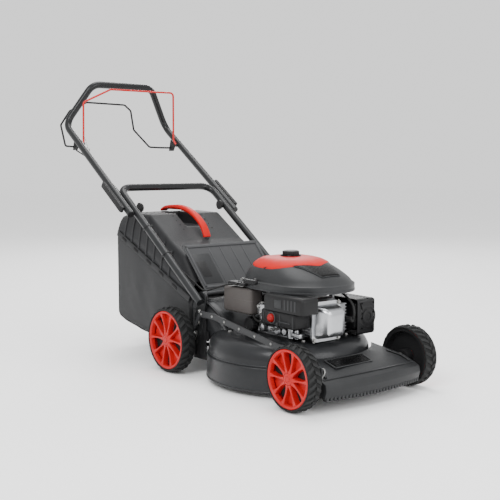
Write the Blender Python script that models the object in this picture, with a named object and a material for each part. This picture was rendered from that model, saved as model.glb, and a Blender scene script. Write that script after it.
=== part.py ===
"""A petrol lawn mower: pressed deck, vertical-shaft engine, rear grass bag and a two-part folding handle.

Metres, +Z up, +X forward, +Y to the mower's left.  The shapes are written about a reference point on the
ground midway between the axles; the last step moves the whole assembly so that the middle of its
bounding box stands over the origin.
"""

import math

import bmesh
import bpy
from mathutils import Matrix, Vector

# ---------------------------------------------------------------- driving dimensions
GAP = 0.0003              # between pieces that touch
RUN = 0.0006              # running clearance of a shaft in its bore

WHEELBASE = 0.570
TRACK = 0.450             # between the middle planes of the left and right wheels
FRONT_WHEEL_R = 0.089
REAR_WHEEL_R = 0.1015
TYRE_W = 0.048
RIM_SHARE = 0.888         # rim radius over tyre radius
STUB_R = 0.006            # wheel stub axles and cross shafts
HUB_R = 0.018
DISH = 0.006              # depth of the wheel's outer face behind its rim

CRANK_ARM = 0.045         # height-adjustment crank, pivot to wheel
CRANK_ANGLE = math.radians(33.0)
CRANK_PLATE_T = 0.005
TIE_ARM = (0.033, 0.050)  # pivot to tie-rod pin
TIE_T = 0.004
TIE_H = 0.019

CRANK_X = 0.010           # engine shaft
DRUM_R = 0.245
DECK_T = 0.003
RIM_Z = 0.015
STEP_Z = 0.082
STEP_IN = 0.006
SHOULDER_Z = 0.102
SHOULDER_R = 0.046
TUNNEL_HALF = 0.172
TUNNEL_REAR_X = -0.258
TUNNEL_TOP_Z = 0.238
TUNNEL_FLOOR_Z = 0.113

NOSE_HALF = 0.182
NOSE_FRONT_X = 0.385
NOSE_T = 0.003
NOSE_REAR_X = 0.150
NOSE_REAR_Z = 0.118
NOSE_BROW = 0.060         # from the front edge back to the brow
NOSE_BROW_Z = 0.099
NOSE_CROWN = 0.006        # rise of the nose's middle over its ends
NOSE_SEAM = 0.0008

TUBE_R = 0.0125
LOWER_TUBE_Y = 0.190
HANDLE_FOOT = (-0.190, 0.235)      # x, z of the lower handle's pivot
HANDLE_JOINT = (-0.600, 0.527)     # x, z of the fold in the handle
LOWER_BAR = (-0.648, 0.561)        # x, z of the lower handle's cross bar
UPPER_START = (-0.530, 0.477)
UPPER_BEND = (-0.980, 0.785)
UPPER_TOP = (-0.937, 0.930)
UPPER_TOP_HALF = 0.125
BAIL_R = 0.0035
BLADE_BAIL_PIVOT = (-0.875, 0.712)
DRIVE_BAIL_PIVOT = (-0.925, 0.703)

BAG_HALF = 0.168
BAG_T = 0.003
BAG_REAR_X = -0.700
BAG_FRONT_X = -0.2615
FLAP_FOOT = (-0.200, 0.247)
FLAP_TOP = (-0.330, 0.385)
FLAP_HALF = 0.150
FLAP_T = 0.004
HOOK_Y = (0.095, 0.120)    # the bag's hooks, which rest on the chute's mouth
HOOK_REACH = 0.012
HOOK_TOP_Z = 0.2435
RECESS = ((-0.632, -0.036, 0.432), (-0.462, 0.036, 0.530))

BLOCK_Z = 0.256
COVER_Z = 0.282
COVER_TOP_Z = 0.365
COVER_T = 0.003
SHAFT_R = 0.0125
BLADE_Z = 0.0455
BLADE_T = 0.004
PULLEY_Z = 0.126
PULLEY_H = 0.012
ENGINE_PULLEY_R = 0.028
DRIVE_PULLEY_R = 0.024
DRIVE_PULLEY_AT = (-0.226, 0.125)
BELT_W = 0.006

# ---------------------------------------------------------------- places worked out from them
DECK_TOP_Z = SHOULDER_Z + SHOULDER_R
UPPER_TUBE_Y = LOWER_TUBE_Y + 2 * TUBE_R + GAP
ARM_X = CRANK_ARM * math.cos(CRANK_ANGLE)
ARM_Z = CRANK_ARM * math.sin(CRANK_ANGLE)
FRONT_WHEEL = (WHEELBASE / 2, FRONT_WHEEL_R)
REAR_WHEEL = (-WHEELBASE / 2, REAR_WHEEL_R)
FRONT_PIVOT = (FRONT_WHEEL[0] + ARM_X, FRONT_WHEEL[1] - ARM_Z)
REAR_PIVOT = (REAR_WHEEL[0] + ARM_X, REAR_WHEEL[1] - ARM_Z)
FRONT_TIE_PIN = (FRONT_PIVOT[0] + TIE_ARM[0], FRONT_PIVOT[1] + TIE_ARM[1])
REAR_TIE_PIN = (REAR_PIVOT[0] + TIE_ARM[0], REAR_PIVOT[1] + TIE_ARM[1])
TYRE_IN_Y = (TRACK - TYRE_W) / 2
TYRE_OUT_Y = (TRACK + TYRE_W) / 2
BRACKET_IN_Y = TUNNEL_HALF + GAP
BRACKET_OUT_Y = LOWER_TUBE_Y - TUBE_R - GAP
CRANK_IN_Y = 0.1800
CRANK_OUT_Y = CRANK_IN_Y + CRANK_PLATE_T
FRONT_ARM_IN_Y = NOSE_HALF + 0.003
FRONT_ARM_OUT_Y = FRONT_ARM_IN_Y + CRANK_PLATE_T
TIE_IN_Y = FRONT_ARM_OUT_Y + 0.0025
TIE_OUT_Y = TIE_IN_Y + TIE_T
PINION_R = 0.011
RING_TIP_R = CRANK_ARM + PINION_R + RUN
RING_ROOT_R = RING_TIP_R + 0.004
RING_OUT_R = RING_ROOT_R + 0.006
WEB_Y = TYRE_IN_Y + 0.024

ROUND = 28                # sides of the larger round pieces
SMALL_ROUND = 16

for old in list(bpy.data.objects):
    bpy.data.objects.remove(old)


# ---------------------------------------------------------------- materials and placing
COLOURS = {
    "deck_grey": ((0.10, 0.105, 0.115), 0.35, 0.6),
    "black_plastic": ((0.02, 0.02, 0.022), 0.5, 0.0),
    "light_plastic": ((0.42, 0.43, 0.45), 0.45, 0.0),
    "tank_plastic": ((0.16, 0.14, 0.13), 0.5, 0.0),
    "red_plastic": ((0.75, 0.03, 0.02), 0.35, 0.0),
    "red_paint": ((0.75, 0.03, 0.02), 0.3, 0.1),
    "rubber": ((0.015, 0.015, 0.016), 0.85, 0.0),
    "tube_paint": ((0.055, 0.057, 0.062), 0.4, 0.4),
    "black_paint": ((0.012, 0.012, 0.013), 0.35, 0.2),
    "steel": ((0.55, 0.55, 0.56), 0.35, 1.0),
    "aluminium": ((0.72, 0.73, 0.75), 0.35, 1.0),
    "fabric": ((0.03, 0.031, 0.034), 0.9, 0.0),
}


def material(name):
    """The shared Principled material of that name."""
    known = bpy.data.materials.get(name)
    if known:
        return known
    colour, roughness, metallic = COLOURS[name]
    made = bpy.data.materials.new(name)
    made.use_nodes = True
    shader = made.node_tree.nodes["Principled BSDF"]
    shader.inputs["Base Color"].default_value = (*colour, 1.0)
    shader.inputs["Roughness"].default_value = roughness
    shader.inputs["Metallic"].default_value = metallic
    return made


def pivot(name, location, parent=None):
    """An empty on a joint's axis; what moves on that joint hangs under it."""
    empty = bpy.data.objects.new(name, None)
    bpy.context.scene.collection.objects.link(empty)
    empty["at"] = tuple(location)
    origin = Vector(parent["at"]) if parent else Vector((0, 0, 0))
    empty.location = Vector(location) - origin
    empty.parent = parent
    return empty


def place(name, data, finish, parent):
    """Link a mesh or curve written in mower coordinates, hung under its joint's empty."""
    data.materials.append(material(finish))
    thing = bpy.data.objects.new(name, data)
    bpy.context.scene.collection.objects.link(thing)
    thing.parent = parent
    thing.location = -Vector(parent["at"])
    return thing


def solid(name, bm, finish, parent, smooth=True):
    """A bmesh as a named object."""
    bmesh.ops.remove_doubles(bm, verts=bm.verts, dist=1e-6)
    bmesh.ops.recalc_face_normals(bm, faces=bm.faces)
    mesh = bpy.data.meshes.new(name)
    bm.to_mesh(mesh)
    bm.free()
    if smooth:
        mesh.shade_smooth()
        mesh.set_sharp_from_angle(angle=math.radians(32))
    return place(name, mesh, finish, parent)


def tool(bm, parent):
    """A hidden cutter or piece to be joined, for a Boolean."""
    made = solid("tool", bm, "steel", parent, smooth=False)
    made.hide_render = True
    made.display_type = "WIRE"
    return made


def combine(thing, operation, bm):
    """Cut a shape away from a piece, or join it on."""
    step = thing.modifiers.new(operation.lower(), "BOOLEAN")
    step.operation = operation
    step.solver = "EXACT"
    step.object = tool(bm, thing.parent)


# ---------------------------------------------------------------- shapes
def loft(rings):
    """A closed skin through rings of the same number of points."""
    bm = bmesh.new()
    rows = [[bm.verts.new(p) for p in ring] for ring in rings]
    count = len(rows[0])
    for low, high in zip(rows, rows[1:]):
        for i in range(count):
            j = (i + 1) % count
            bm.faces.new((low[i], low[j], high[j], high[i]))
    bm.faces.new(rows[0][::-1])
    bm.faces.new(rows[-1])
    return bm


def prism(outline, axis, low, high):
    """An outline in the two other axes, in X, Y, Z order, extruded along an axis."""
    index = "XYZ".index(axis)

    def point(pair, level):
        values = list(pair)
        values.insert(index, level)
        return values

    return loft([[point(p, low) for p in outline], [point(p, high) for p in outline]])


def box(low, high, edge=0.0):
    """A box between two corners, with its edges bevelled."""
    bm = bmesh.new()
    centre = [(a + b) / 2 for a, b in zip(low, high)]
    size = [b - a for a, b in zip(low, high)]
    matrix = Matrix.Translation(centre) @ Matrix.Diagonal((*size, 1.0))
    bmesh.ops.create_cube(bm, size=1.0, matrix=matrix)
    if edge:
        bmesh.ops.bevel(bm, geom=bm.edges[:], offset=edge, segments=2, affect="EDGES", profile=0.5)
    return bm


def turned(profile, at, axis="Z", sides=ROUND):
    """A profile of (radius, height) pairs turned about an axis through a point."""
    bm = bmesh.new()
    rows = []
    for radius, height in profile:
        if radius == 0:
            rows.append([bm.verts.new((0, 0, height))])
            continue
        ring = []
        for i in range(sides):
            angle = 2 * math.pi * i / sides
            ring.append(bm.verts.new((radius * math.cos(angle), radius * math.sin(angle), height)))
        rows.append(ring)
    closed = profile[0][0] > 0 and profile[-1][0] > 0
    pairs = list(zip(rows, rows[1:]))
    if closed:
        pairs.append((rows[-1], rows[0]))
    for low, high in pairs:
        for i in range(sides):
            j = (i + 1) % sides
            corners = [low[0]] if len(low) == 1 else [low[i], low[j]]
            corners += [high[0]] if len(high) == 1 else [high[j], high[i]]
            if len(corners) > 2:
                bm.faces.new(corners)
    turns = {"Z": Matrix(),
             "Y": Matrix.Rotation(-math.pi / 2, 4, "X"),
             "X": Matrix.Rotation(math.pi / 2, 4, "Y")}
    bm.transform(Matrix.Translation(at) @ turns[axis])
    return bm


def rod(radius, low, high, at, axis, sides=SMALL_ROUND):
    """A plain round bar; low and high are heights along its axis."""
    return turned([(0, low), (radius, low), (radius, high), (0, high)], at, axis, sides)


def rounded(half_a, half_b, corner, steps=4):
    """The points of a rounded rectangle about the origin."""
    points = []
    for quarter, (sa, sb) in enumerate(((1, 1), (-1, 1), (-1, -1), (1, -1))):
        for i in range(steps + 1):
            angle = math.pi / 2 * (quarter + i / steps)
            across = sa * (half_a - corner) + corner * math.cos(angle)
            up = sb * (half_b - corner) + corner * math.sin(angle)
            points.append((across, up))
    return points


def section_x(x, half, low, high, corner):
    """A rounded rectangle standing across the mower at x."""
    middle = (low + high) / 2
    return [(x, y, middle + z) for y, z in rounded(half, (high - low) / 2, corner)]


def section_z(z, low, high, corner):
    """A rounded rectangle lying level at z, between two (x, y) corners."""
    cx, cy = (low[0] + high[0]) / 2, (low[1] + high[1]) / 2
    half_x, half_y = (high[0] - low[0]) / 2, (high[1] - low[1]) / 2
    return [(cx + x, cy + y, z) for x, y in rounded(half_x, half_y, corner)]


def capsule(a, b, radius, steps=6):
    """The outline of a link with round ends between two points."""
    start, end = Vector(a), Vector(b)
    facing = math.atan2(end.y - start.y, end.x - start.x)
    points = []
    for centre, first in ((end, facing - math.pi / 2), (start, facing + math.pi / 2)):
        for i in range(steps + 1):
            angle = first + math.pi * i / steps
            points.append((centre.x + radius * math.cos(angle), centre.y + radius * math.sin(angle)))
    return points


def eased(points, radius, steps=5):
    """A route with its corners rounded to a bend radius."""
    route = [Vector(p) for p in points]
    smooth = [route[0]]
    for before, corner, after in zip(route, route[1:], route[2:]):
        to_before = (before - corner).normalized()
        to_after = (after - corner).normalized()
        turn = math.pi - to_before.angle(to_after)
        shorter = min((before - corner).length, (after - corner).length)
        reach = min(radius * math.tan(turn / 2), 0.45 * shorter)
        first, last = corner + to_before * reach, corner + to_after * reach
        for i in range(steps + 1):
            t = i / steps
            smooth.append(first * (1 - t) ** 2 + corner * 2 * t * (1 - t) + last * t ** 2)
    smooth.append(route[-1])
    return smooth


def tube(name, points, radius, finish, parent, sharpness=2):
    """A round bar bent along a route, with flat ends."""
    curve = bpy.data.curves.new(name, "CURVE")
    curve.dimensions = "3D"
    curve.bevel_depth = radius
    curve.bevel_resolution = sharpness
    curve.use_fill_caps = True
    curve.twist_mode = "MINIMUM"
    spline = curve.splines.new("POLY")
    spline.points.add(len(points) - 1)
    for knot, point in zip(spline.points, points):
        knot.co = (*point, 1.0)
    return place(name, curve, finish, parent)


def gear_ring(outer_r, root_r, tip_r, teeth, low, high, at):
    """An internally toothed ring about a Y axis."""
    inner = []
    for i in range(teeth):
        for share, radius in ((0.0, root_r), (0.3, root_r), (0.5, tip_r), (0.8, tip_r)):
            angle = 2 * math.pi * (i + share) / teeth
            inner.append((radius * math.cos(angle), radius * math.sin(angle)))
    count = len(inner)
    outer = [(outer_r * math.cos(2 * math.pi * i / count), outer_r * math.sin(2 * math.pi * i / count))
             for i in range(count)]
    bm = bmesh.new()
    rows = [[bm.verts.new((at[0] + x, level, at[1] + z)) for x, z in loop]
            for loop, level in ((outer, low), (outer, high), (inner, high), (inner, low))]
    for low_row, high_row in zip(rows, rows[1:] + rows[:1]):
        for i in range(count):
            j = (i + 1) % count
            bm.faces.new((low_row[i], low_row[j], high_row[j], high_row[i]))
    return bm


# ---------------------------------------------------------------- joint axes
ROOT = pivot("mower", (0, 0, 0))
FRONT_CRANKS = pivot("front_height_pivot", (FRONT_PIVOT[0], 0, FRONT_PIVOT[1]), ROOT)
REAR_CRANKS = pivot("rear_height_pivot", (REAR_PIVOT[0], 0, REAR_PIVOT[1]), ROOT)
TIE_PIVOT = pivot("tie_rod_pivot", (REAR_TIE_PIN[0], -TIE_IN_Y, REAR_TIE_PIN[1]), REAR_CRANKS)
SHAFT = pivot("crankshaft_axis", (CRANK_X, 0, 0), ROOT)
LOWER_FOLD = pivot("lower_fold", (HANDLE_FOOT[0], 0, HANDLE_FOOT[1]), ROOT)
UPPER_FOLD = pivot("upper_fold", (HANDLE_JOINT[0], 0, HANDLE_JOINT[1]), LOWER_FOLD)


# ---------------------------------------------------------------- deck
def drum_profile(inset, bottom):
    """The deck's drum from its axis to its rim and back, set in by a wall."""
    radius = DRUM_R - inset
    top = DECK_TOP_Z - inset
    points = [(0, bottom), (radius, bottom), (radius, STEP_Z - inset * 0.4)]
    points.append((radius - STEP_IN, STEP_Z + 0.003 - inset * 0.4))
    for i in range(6):
        angle = math.pi / 2 * i / 5
        bend = SHOULDER_R - inset
        centre_r = DRUM_R - STEP_IN - SHOULDER_R
        points.append((centre_r + bend * math.cos(angle), SHOULDER_Z + bend * math.sin(angle)))
    points.append((0, top))
    return points


def tunnel(inset, front_x, rear_x):
    """The chute that rises from the drum to the mouth of the bag, set in by a wall."""
    stations = ((front_x, 0.150, 0.050, 0.146), (-0.140, 0.166, 0.086, 0.200),
                (-0.195, TUNNEL_HALF, 0.107, 0.228), (rear_x, TUNNEL_HALF, TUNNEL_FLOOR_Z, TUNNEL_TOP_Z))
    rings = []
    for x, half, low, high in stations:
        rings.append(section_x(x, half - inset, low + inset, high - inset, 0.036 - inset))
    return loft(rings)


deck = solid("deck_shell", turned(drum_profile(0, RIM_Z), (CRANK_X, 0, 0), sides=40), "deck_grey", ROOT)
combine(deck, "UNION", tunnel(0, -0.086, TUNNEL_REAR_X))
combine(deck, "DIFFERENCE", turned(drum_profile(DECK_T, RIM_Z - 0.01), (CRANK_X, 0, 0), sides=40))
combine(deck, "DIFFERENCE", tunnel(DECK_T, -0.090, TUNNEL_REAR_X - 0.01))
combine(deck, "DIFFERENCE", rod(0.030, 0.10, 0.20, (CRANK_X, 0, 0), "Z"))
combine(deck, "DIFFERENCE", rod(0.010, 0.06, 0.122, (*DRIVE_PULLEY_AT, 0), "Z"))

for side, word in ((1, "left"), (-1, "right")):
    inner, outer = sorted((side * BRACKET_IN_Y, side * BRACKET_OUT_Y))
    foot_x, foot_z = HANDLE_FOOT
    outline = capsule((foot_x, foot_z), (foot_x - 0.020, foot_z - 0.095), 0.022)
    solid("handle_bracket_" + word, prism(outline, "Y", inner, outer), "black_paint", ROOT)


# ---------------------------------------------------------------- nose
def nose(inset, low):
    """The moulded front cover between the front wheels, in sections from side to side."""
    rings = []
    half = NOSE_HALF - inset
    for share in (-1.0, -0.75, -0.4, 0.0, 0.4, 0.75, 1.0):
        y = share * half
        bulge = 0.020 * (1 - share * share)
        front = NOSE_FRONT_X - 0.020 + bulge - inset
        rise = NOSE_CROWN * (1 - share * share)
        ring = [(front - 0.006, y, low), (front, y, 0.062), (front - 0.004, y, 0.078 + rise - inset)]
        ring.append((front - 0.022, y, 0.086 + rise - inset))
        ring.append((front - NOSE_BROW, y, NOSE_BROW_Z + rise - inset))
        ring.append((NOSE_REAR_X - inset, y, NOSE_REAR_Z + rise - inset))
        ring.append((NOSE_REAR_X - inset, y, low))
        rings.append(ring)
    return loft(rings)


cover = solid("nose_cover", nose(0, 0.040), "deck_grey", ROOT)
combine(cover, "DIFFERENCE", nose(NOSE_T, 0.030))
combine(cover, "DIFFERENCE", rod(DRUM_R + NOSE_SEAM, -0.1, 0.3, (CRANK_X, 0, 0), "Z", 40))
combine(cover, "DIFFERENCE", rod(STUB_R + RUN, -0.20, 0.20, (FRONT_PIVOT[0], 0, FRONT_PIVOT[1]), "Y"))


def nose_ridge(x):
    """The height of the nose's middle line at x, behind its brow."""
    run = (x - NOSE_REAR_X) / (NOSE_FRONT_X - NOSE_BROW - NOSE_REAR_X)
    return NOSE_REAR_Z + (NOSE_BROW_Z - NOSE_REAR_Z) * run + NOSE_CROWN


PANEL_X = (0.268, 0.316)
PANEL_Y = ((-0.086, 0.040), (-0.098, 0.022))
PANEL_T = 0.0025
rings = []
for lift in (GAP, GAP + PANEL_T):
    corners = []
    for x, (right, left) in zip(PANEL_X, PANEL_Y):
        z = nose_ridge(x) + lift
        corners.append(((x, right, z), (x, left, z)))
    rings.append([corners[0][0], corners[0][1], corners[1][1], corners[1][0]])
solid("nose_panel", loft(rings), "black_plastic", ROOT)


# ---------------------------------------------------------------- height adjustment
REACH = TYRE_OUT_Y - 0.003

front_axle = solid(
    "front_axle", rod(STUB_R, -FRONT_ARM_OUT_Y, FRONT_ARM_OUT_Y, (FRONT_PIVOT[0], 0, FRONT_PIVOT[1]), "Y"),
    "steel", FRONT_CRANKS)
for side in (-1, 1):
    low, high = sorted((side * FRONT_ARM_IN_Y, side * FRONT_ARM_OUT_Y))
    arm = prism(capsule(FRONT_PIVOT, FRONT_WHEEL, 0.012), "Y", low, high)
    combine(front_axle, "UNION", arm)
    low, high = sorted((side * (FRONT_ARM_OUT_Y - 0.001), side * REACH))
    combine(front_axle, "UNION", rod(STUB_R, low, high, (FRONT_WHEEL[0], 0, FRONT_WHEEL[1]), "Y"))
tie_arm = prism(capsule(FRONT_PIVOT, FRONT_TIE_PIN, 0.009), "Y", -FRONT_ARM_OUT_Y, -FRONT_ARM_IN_Y)
combine(front_axle, "UNION", tie_arm)

for side, word in ((1, "left"), (-1, "right")):
    low, high = sorted((side * CRANK_IN_Y, side * CRANK_OUT_Y))
    crank = solid("rear_crank_" + word, prism(capsule(REAR_PIVOT, REAR_WHEEL, 0.014), "Y", low, high),
                  "steel", REAR_CRANKS)
    if side < 0:
        combine(crank, "UNION", prism(capsule(REAR_PIVOT, REAR_TIE_PIN, 0.009), "Y", low, high))
        boss = rod(STUB_R, -TIE_IN_Y + GAP, -CRANK_OUT_Y + 0.001, (REAR_TIE_PIN[0], 0, REAR_TIE_PIN[1]), "Y")
        combine(crank, "UNION", boss)
    bore = rod(STUB_R + RUN, low - 0.01, high + 0.01, (REAR_PIVOT[0], 0, REAR_PIVOT[1]), "Y")
    combine(crank, "DIFFERENCE", bore)
    low, high = sorted((side * (CRANK_OUT_Y - 0.001), side * REACH))
    combine(crank, "UNION", rod(STUB_R, low, high, (REAR_WHEEL[0], 0, REAR_WHEEL[1]), "Y"))

half = TIE_H / 2
ridge = [(REAR_TIE_PIN[0] - 0.006, REAR_TIE_PIN[1]), (-0.172, 0.193), (-0.105, 0.194), (0.190, 0.151),
         (0.270, 0.1475), (FRONT_TIE_PIN[0] + 0.006, FRONT_TIE_PIN[1])]
edge = [(x, z + half) for x, z in ridge] + [(x, z - half) for x, z in reversed(ridge)]
solid("height_tie_rod", prism(edge, "Y", -TIE_OUT_Y, -TIE_IN_Y), "light_plastic", TIE_PIVOT)


# ---------------------------------------------------------------- wheels
def wheel(word, side, centre, radius, parent, geared):
    """A rim with its tyre, and on a driven wheel the ring gear inside it."""
    hub = pivot(word + "_spin", (centre[0], side * TRACK / 2, centre[1]), parent)
    at = (centre[0], 0, centre[1])
    rim_r = radius * RIM_SHARE
    inner = FRONT_ARM_OUT_Y + 0.0015
    web = WEB_Y
    profile = [(STUB_R + RUN, inner), (HUB_R, inner), (HUB_R, web - 0.008), (rim_r - 0.010, web - 0.008)]
    profile += [(rim_r - 0.006, TYRE_IN_Y + 0.003), (rim_r - GAP, TYRE_IN_Y + 0.003)]
    profile += [(rim_r - GAP, TYRE_OUT_Y - 0.003), (rim_r - 0.006, TYRE_OUT_Y - 0.002)]
    profile += [(rim_r - 0.009, TYRE_OUT_Y - DISH), (HUB_R, TYRE_OUT_Y - DISH),
                (HUB_R - 0.002, TYRE_OUT_Y - 0.002)]
    profile += [(STUB_R + RUN, TYRE_OUT_Y - 0.002)]
    solid(word + "_rim", turned([(r, side * y) for r, y in profile], at, "Y"), "red_plastic", hub)
    tread = [(rim_r, TYRE_IN_Y + 0.004), (rim_r + 0.002, TYRE_IN_Y), (radius - 0.005, TYRE_IN_Y + 0.001)]
    tread += [(radius, TYRE_IN_Y + 0.008), (radius, TYRE_OUT_Y - 0.008),
              (radius - 0.005, TYRE_OUT_Y - 0.001)]
    tread += [(rim_r + 0.002, TYRE_OUT_Y), (rim_r, TYRE_OUT_Y - 0.004)]
    solid(word + "_tyre", turned([(r, side * y) for r, y in tread], at, "Y"), "rubber", hub)
    if geared:
        low, high = sorted((side * (TYRE_IN_Y + 0.0015), side * (web - 0.008 - GAP)))
        solid(word + "_gear", gear_ring(RING_OUT_R, RING_ROOT_R, RING_TIP_R, 24, low, high, centre),
              "black_plastic", hub)


for side, word in ((1, "left"), (-1, "right")):
    wheel("front_" + word, side, FRONT_WHEEL, FRONT_WHEEL_R, FRONT_CRANKS, False)
    wheel("rear_" + word, side, REAR_WHEEL, REAR_WHEEL_R, REAR_CRANKS, True)


# ---------------------------------------------------------------- drive to the rear wheels
DRIVE = pivot("drive_shaft_axis", (REAR_PIVOT[0], 0, REAR_PIVOT[1]), ROOT)
INPUT = pivot("gearbox_input_axis", (*DRIVE_PULLEY_AT, 0), ROOT)
pinion_out = WEB_Y - 0.010
shaft_profile = [(0, -pinion_out), (PINION_R, -pinion_out),
                 (PINION_R, -TYRE_IN_Y - 0.001), (STUB_R, -TYRE_IN_Y)]
shaft_profile += [(radius, -height) for radius, height in reversed(shaft_profile)]
solid("drive_shaft", turned(shaft_profile, (REAR_PIVOT[0], 0, REAR_PIVOT[1]), "Y", SMALL_ROUND),
      "steel", DRIVE)
gearbox = solid("gearbox", box((REAR_PIVOT[0] - 0.024, 0.100, 0.056), (-0.2165, 0.150, 0.101), 0.005),
                "aluminium", ROOT)
combine(gearbox, "DIFFERENCE",
        rod(STUB_R + RUN, 0.05, 0.17, (REAR_PIVOT[0], 0, REAR_PIVOT[1]), "Y"))
pulley_low, pulley_high = PULLEY_Z - 0.002, PULLEY_Z + PULLEY_H + 0.002
input_profile = [(0, 0.1013), (STUB_R, 0.1013), (STUB_R, pulley_low), (DRIVE_PULLEY_R, pulley_low)]
input_profile += [(DRIVE_PULLEY_R, pulley_high), (0, pulley_high)]
solid("gearbox_pulley", turned(input_profile, (*DRIVE_PULLEY_AT, 0), "Z", 24), "steel", INPUT)


def belt_line(inset):
    """The outline of an open belt round the two pulleys, as far out as inset says."""
    first, second = Vector((CRANK_X, 0)), Vector(DRIVE_PULLEY_AT)
    big, little = ENGINE_PULLEY_R + inset, DRIVE_PULLEY_R + inset
    along = second - first
    lean = math.acos((big - little) / along.length)
    facing = math.atan2(along.y, along.x)
    points = []
    for centre, radius, start, sweep in (
            (first, big, facing + lean, 2 * (math.pi - lean)), (second, little, facing - lean, 2 * lean)):
        for i in range(13):
            angle = start + sweep * i / 12
            points.append((centre.x + radius * math.cos(angle), centre.y + radius * math.sin(angle)))
    return points


belt = solid("drive_belt", prism(belt_line(BELT_W), "Z", PULLEY_Z + 0.002, PULLEY_Z + PULLEY_H - 0.002),
             "rubber", ROOT)
combine(belt, "DIFFERENCE", prism(belt_line(RUN), "Z", PULLEY_Z - 0.01, PULLEY_Z + PULLEY_H + 0.01))


# ---------------------------------------------------------------- cutting gear on the engine shaft
AXIS = (CRANK_X, 0, 0)
BLADE_TOP = BLADE_Z + BLADE_T
ADAPTER_TOP = BLADE_TOP + 0.022
FLY_LOW, FLY_HIGH = BLOCK_Z + 0.010, COVER_Z + 0.050
solid("crankshaft", rod(SHAFT_R, BLADE_TOP + GAP, FLY_HIGH + 0.006, AXIS, "Z"), "steel", SHAFT)
ring = [(SHAFT_R + GAP, BLADE_TOP + GAP), (0.030, BLADE_TOP + GAP), (0.030, BLADE_TOP + 0.008)]
ring += [(0.020, BLADE_TOP + 0.010), (0.020, ADAPTER_TOP), (SHAFT_R + GAP, ADAPTER_TOP)]
solid("blade_adapter", turned(ring, AXIS, sides=24), "steel", SHAFT)
blade_half = DRUM_R - DECK_T - 0.014
blade_outline = [(CRANK_X - blade_half, -0.026), (CRANK_X + blade_half, -0.026),
                 (CRANK_X + blade_half, 0.026), (CRANK_X - blade_half, 0.026)]
solid("blade", prism(blade_outline, "Z", BLADE_Z, BLADE_TOP), "steel", SHAFT)
solid("blade_bolt", turned([(0, 0.033), (0.013, 0.033), (0.013, 0.041), (0.019, 0.042), (0.019, BLADE_Z - GAP),
                            (0, BLADE_Z - GAP)], AXIS, sides=6), "steel", SHAFT)
ring = [(SHAFT_R + GAP, pulley_low), (ENGINE_PULLEY_R, pulley_low), (ENGINE_PULLEY_R, pulley_high),
        (SHAFT_R + GAP, pulley_high)]
solid("engine_pulley", turned(ring, AXIS, sides=24), "steel", SHAFT)
ring = [(SHAFT_R + GAP, FLY_LOW), (0.086, FLY_LOW), (0.088, FLY_LOW + 0.030), (0.060, FLY_LOW + 0.034),
        (0.060, FLY_HIGH), (0.030, FLY_HIGH), (0.028, FLY_LOW + 0.044), (SHAFT_R + GAP, FLY_LOW + 0.044)]
solid("flywheel", turned(ring, AXIS, sides=24), "aluminium", SHAFT)


# ---------------------------------------------------------------- engine
BLOCK_SIDE = 0.085
HEAD_X = 0.200
block = solid("crankcase", box((-0.075, -BLOCK_SIDE, DECK_TOP_Z + GAP), (0.130, BLOCK_SIDE, BLOCK_Z), 0.012),
              "aluminium", ROOT)
combine(block, "UNION", box((0.110, -0.078, 0.163), (HEAD_X, 0.052, 0.250), 0.008))
for post_x in (-0.064, 0.119):
    for post_y in (-0.074, 0.074):
        combine(block, "UNION", rod(0.006, BLOCK_Z - 0.004, COVER_Z - GAP, (post_x, post_y, 0), "Z", 12))
combine(block, "DIFFERENCE", rod(SHAFT_R + RUN, 0.10, 0.30, AXIS, "Z"))
solid("rocker_cover", box((HEAD_X + GAP, -0.085, 0.150), (HEAD_X + 0.048, 0.022, 0.262), 0.014),
      "aluminium", ROOT)
plug = [(0, HEAD_X + GAP), (0.009, HEAD_X + GAP), (0.009, HEAD_X + 0.008), (0.006, HEAD_X + 0.010),
        (0.006, HEAD_X + 0.030), (0.003, HEAD_X + 0.032), (0.003, HEAD_X + 0.040), (0, HEAD_X + 0.040)]
solid("spark_plug", turned(plug, (0, 0.038, 0.206), "X", 12), "steel", ROOT)

GUARD_LOW, GUARD_HIGH = (0.088, BLOCK_SIDE - 0.012, DECK_TOP_Z + 0.003), (0.212, 0.160, 0.256)
solid("muffler", box((0.094, BLOCK_SIDE + GAP, 0.162), (0.203, 0.152, 0.248), 0.014), "black_paint", ROOT)
guard = solid("muffler_guard", box(GUARD_LOW, GUARD_HIGH, 0.008), "black_paint", ROOT)
hollow_low = [value + 0.0025 for value in GUARD_LOW]
hollow_high = [value - 0.0025 for value in GUARD_HIGH]
hollow_low[1] = BLOCK_SIDE - 0.02
combine(guard, "DIFFERENCE", box(hollow_low, hollow_high, 0.0065))
combine(guard, "DIFFERENCE", box((0.05, 0.02, 0.10), (0.25, BLOCK_SIDE + GAP, 0.30)))

solid("carburettor", box((0.000, -0.122, 0.190), (0.050, -BLOCK_SIDE - GAP, 0.246), 0.006),
      "aluminium", ROOT)
PRIMER_AT = (0.103, 0.214)
PRIMER_FACE = 0.146
FILTER_Z = 0.236
base = solid("air_filter_base", box((0.055, -PRIMER_FACE, 0.190), (0.200, -BLOCK_SIDE - GAP, FILTER_Z - GAP), 0.006),
             "black_plastic", ROOT)
combine(base, "DIFFERENCE", rod(0.0135, -PRIMER_FACE - 0.01, -PRIMER_FACE + 0.008, (PRIMER_AT[0], 0, PRIMER_AT[1]),
                                "Y"))
PRIMER = pivot("primer_push", (PRIMER_AT[0], -PRIMER_FACE, PRIMER_AT[1]), ROOT)
bulb = [(0, -PRIMER_FACE + 0.002), (0.0125, -PRIMER_FACE + 0.002), (0.0125, -PRIMER_FACE - 0.003),
        (0.0105, -PRIMER_FACE - 0.008), (0.006, -PRIMER_FACE - 0.0108), (0, -PRIMER_FACE - 0.0118)]
solid("primer_bulb", turned(bulb, (PRIMER_AT[0], 0, PRIMER_AT[1]), "Y", SMALL_ROUND), "red_plastic", PRIMER)
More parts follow.
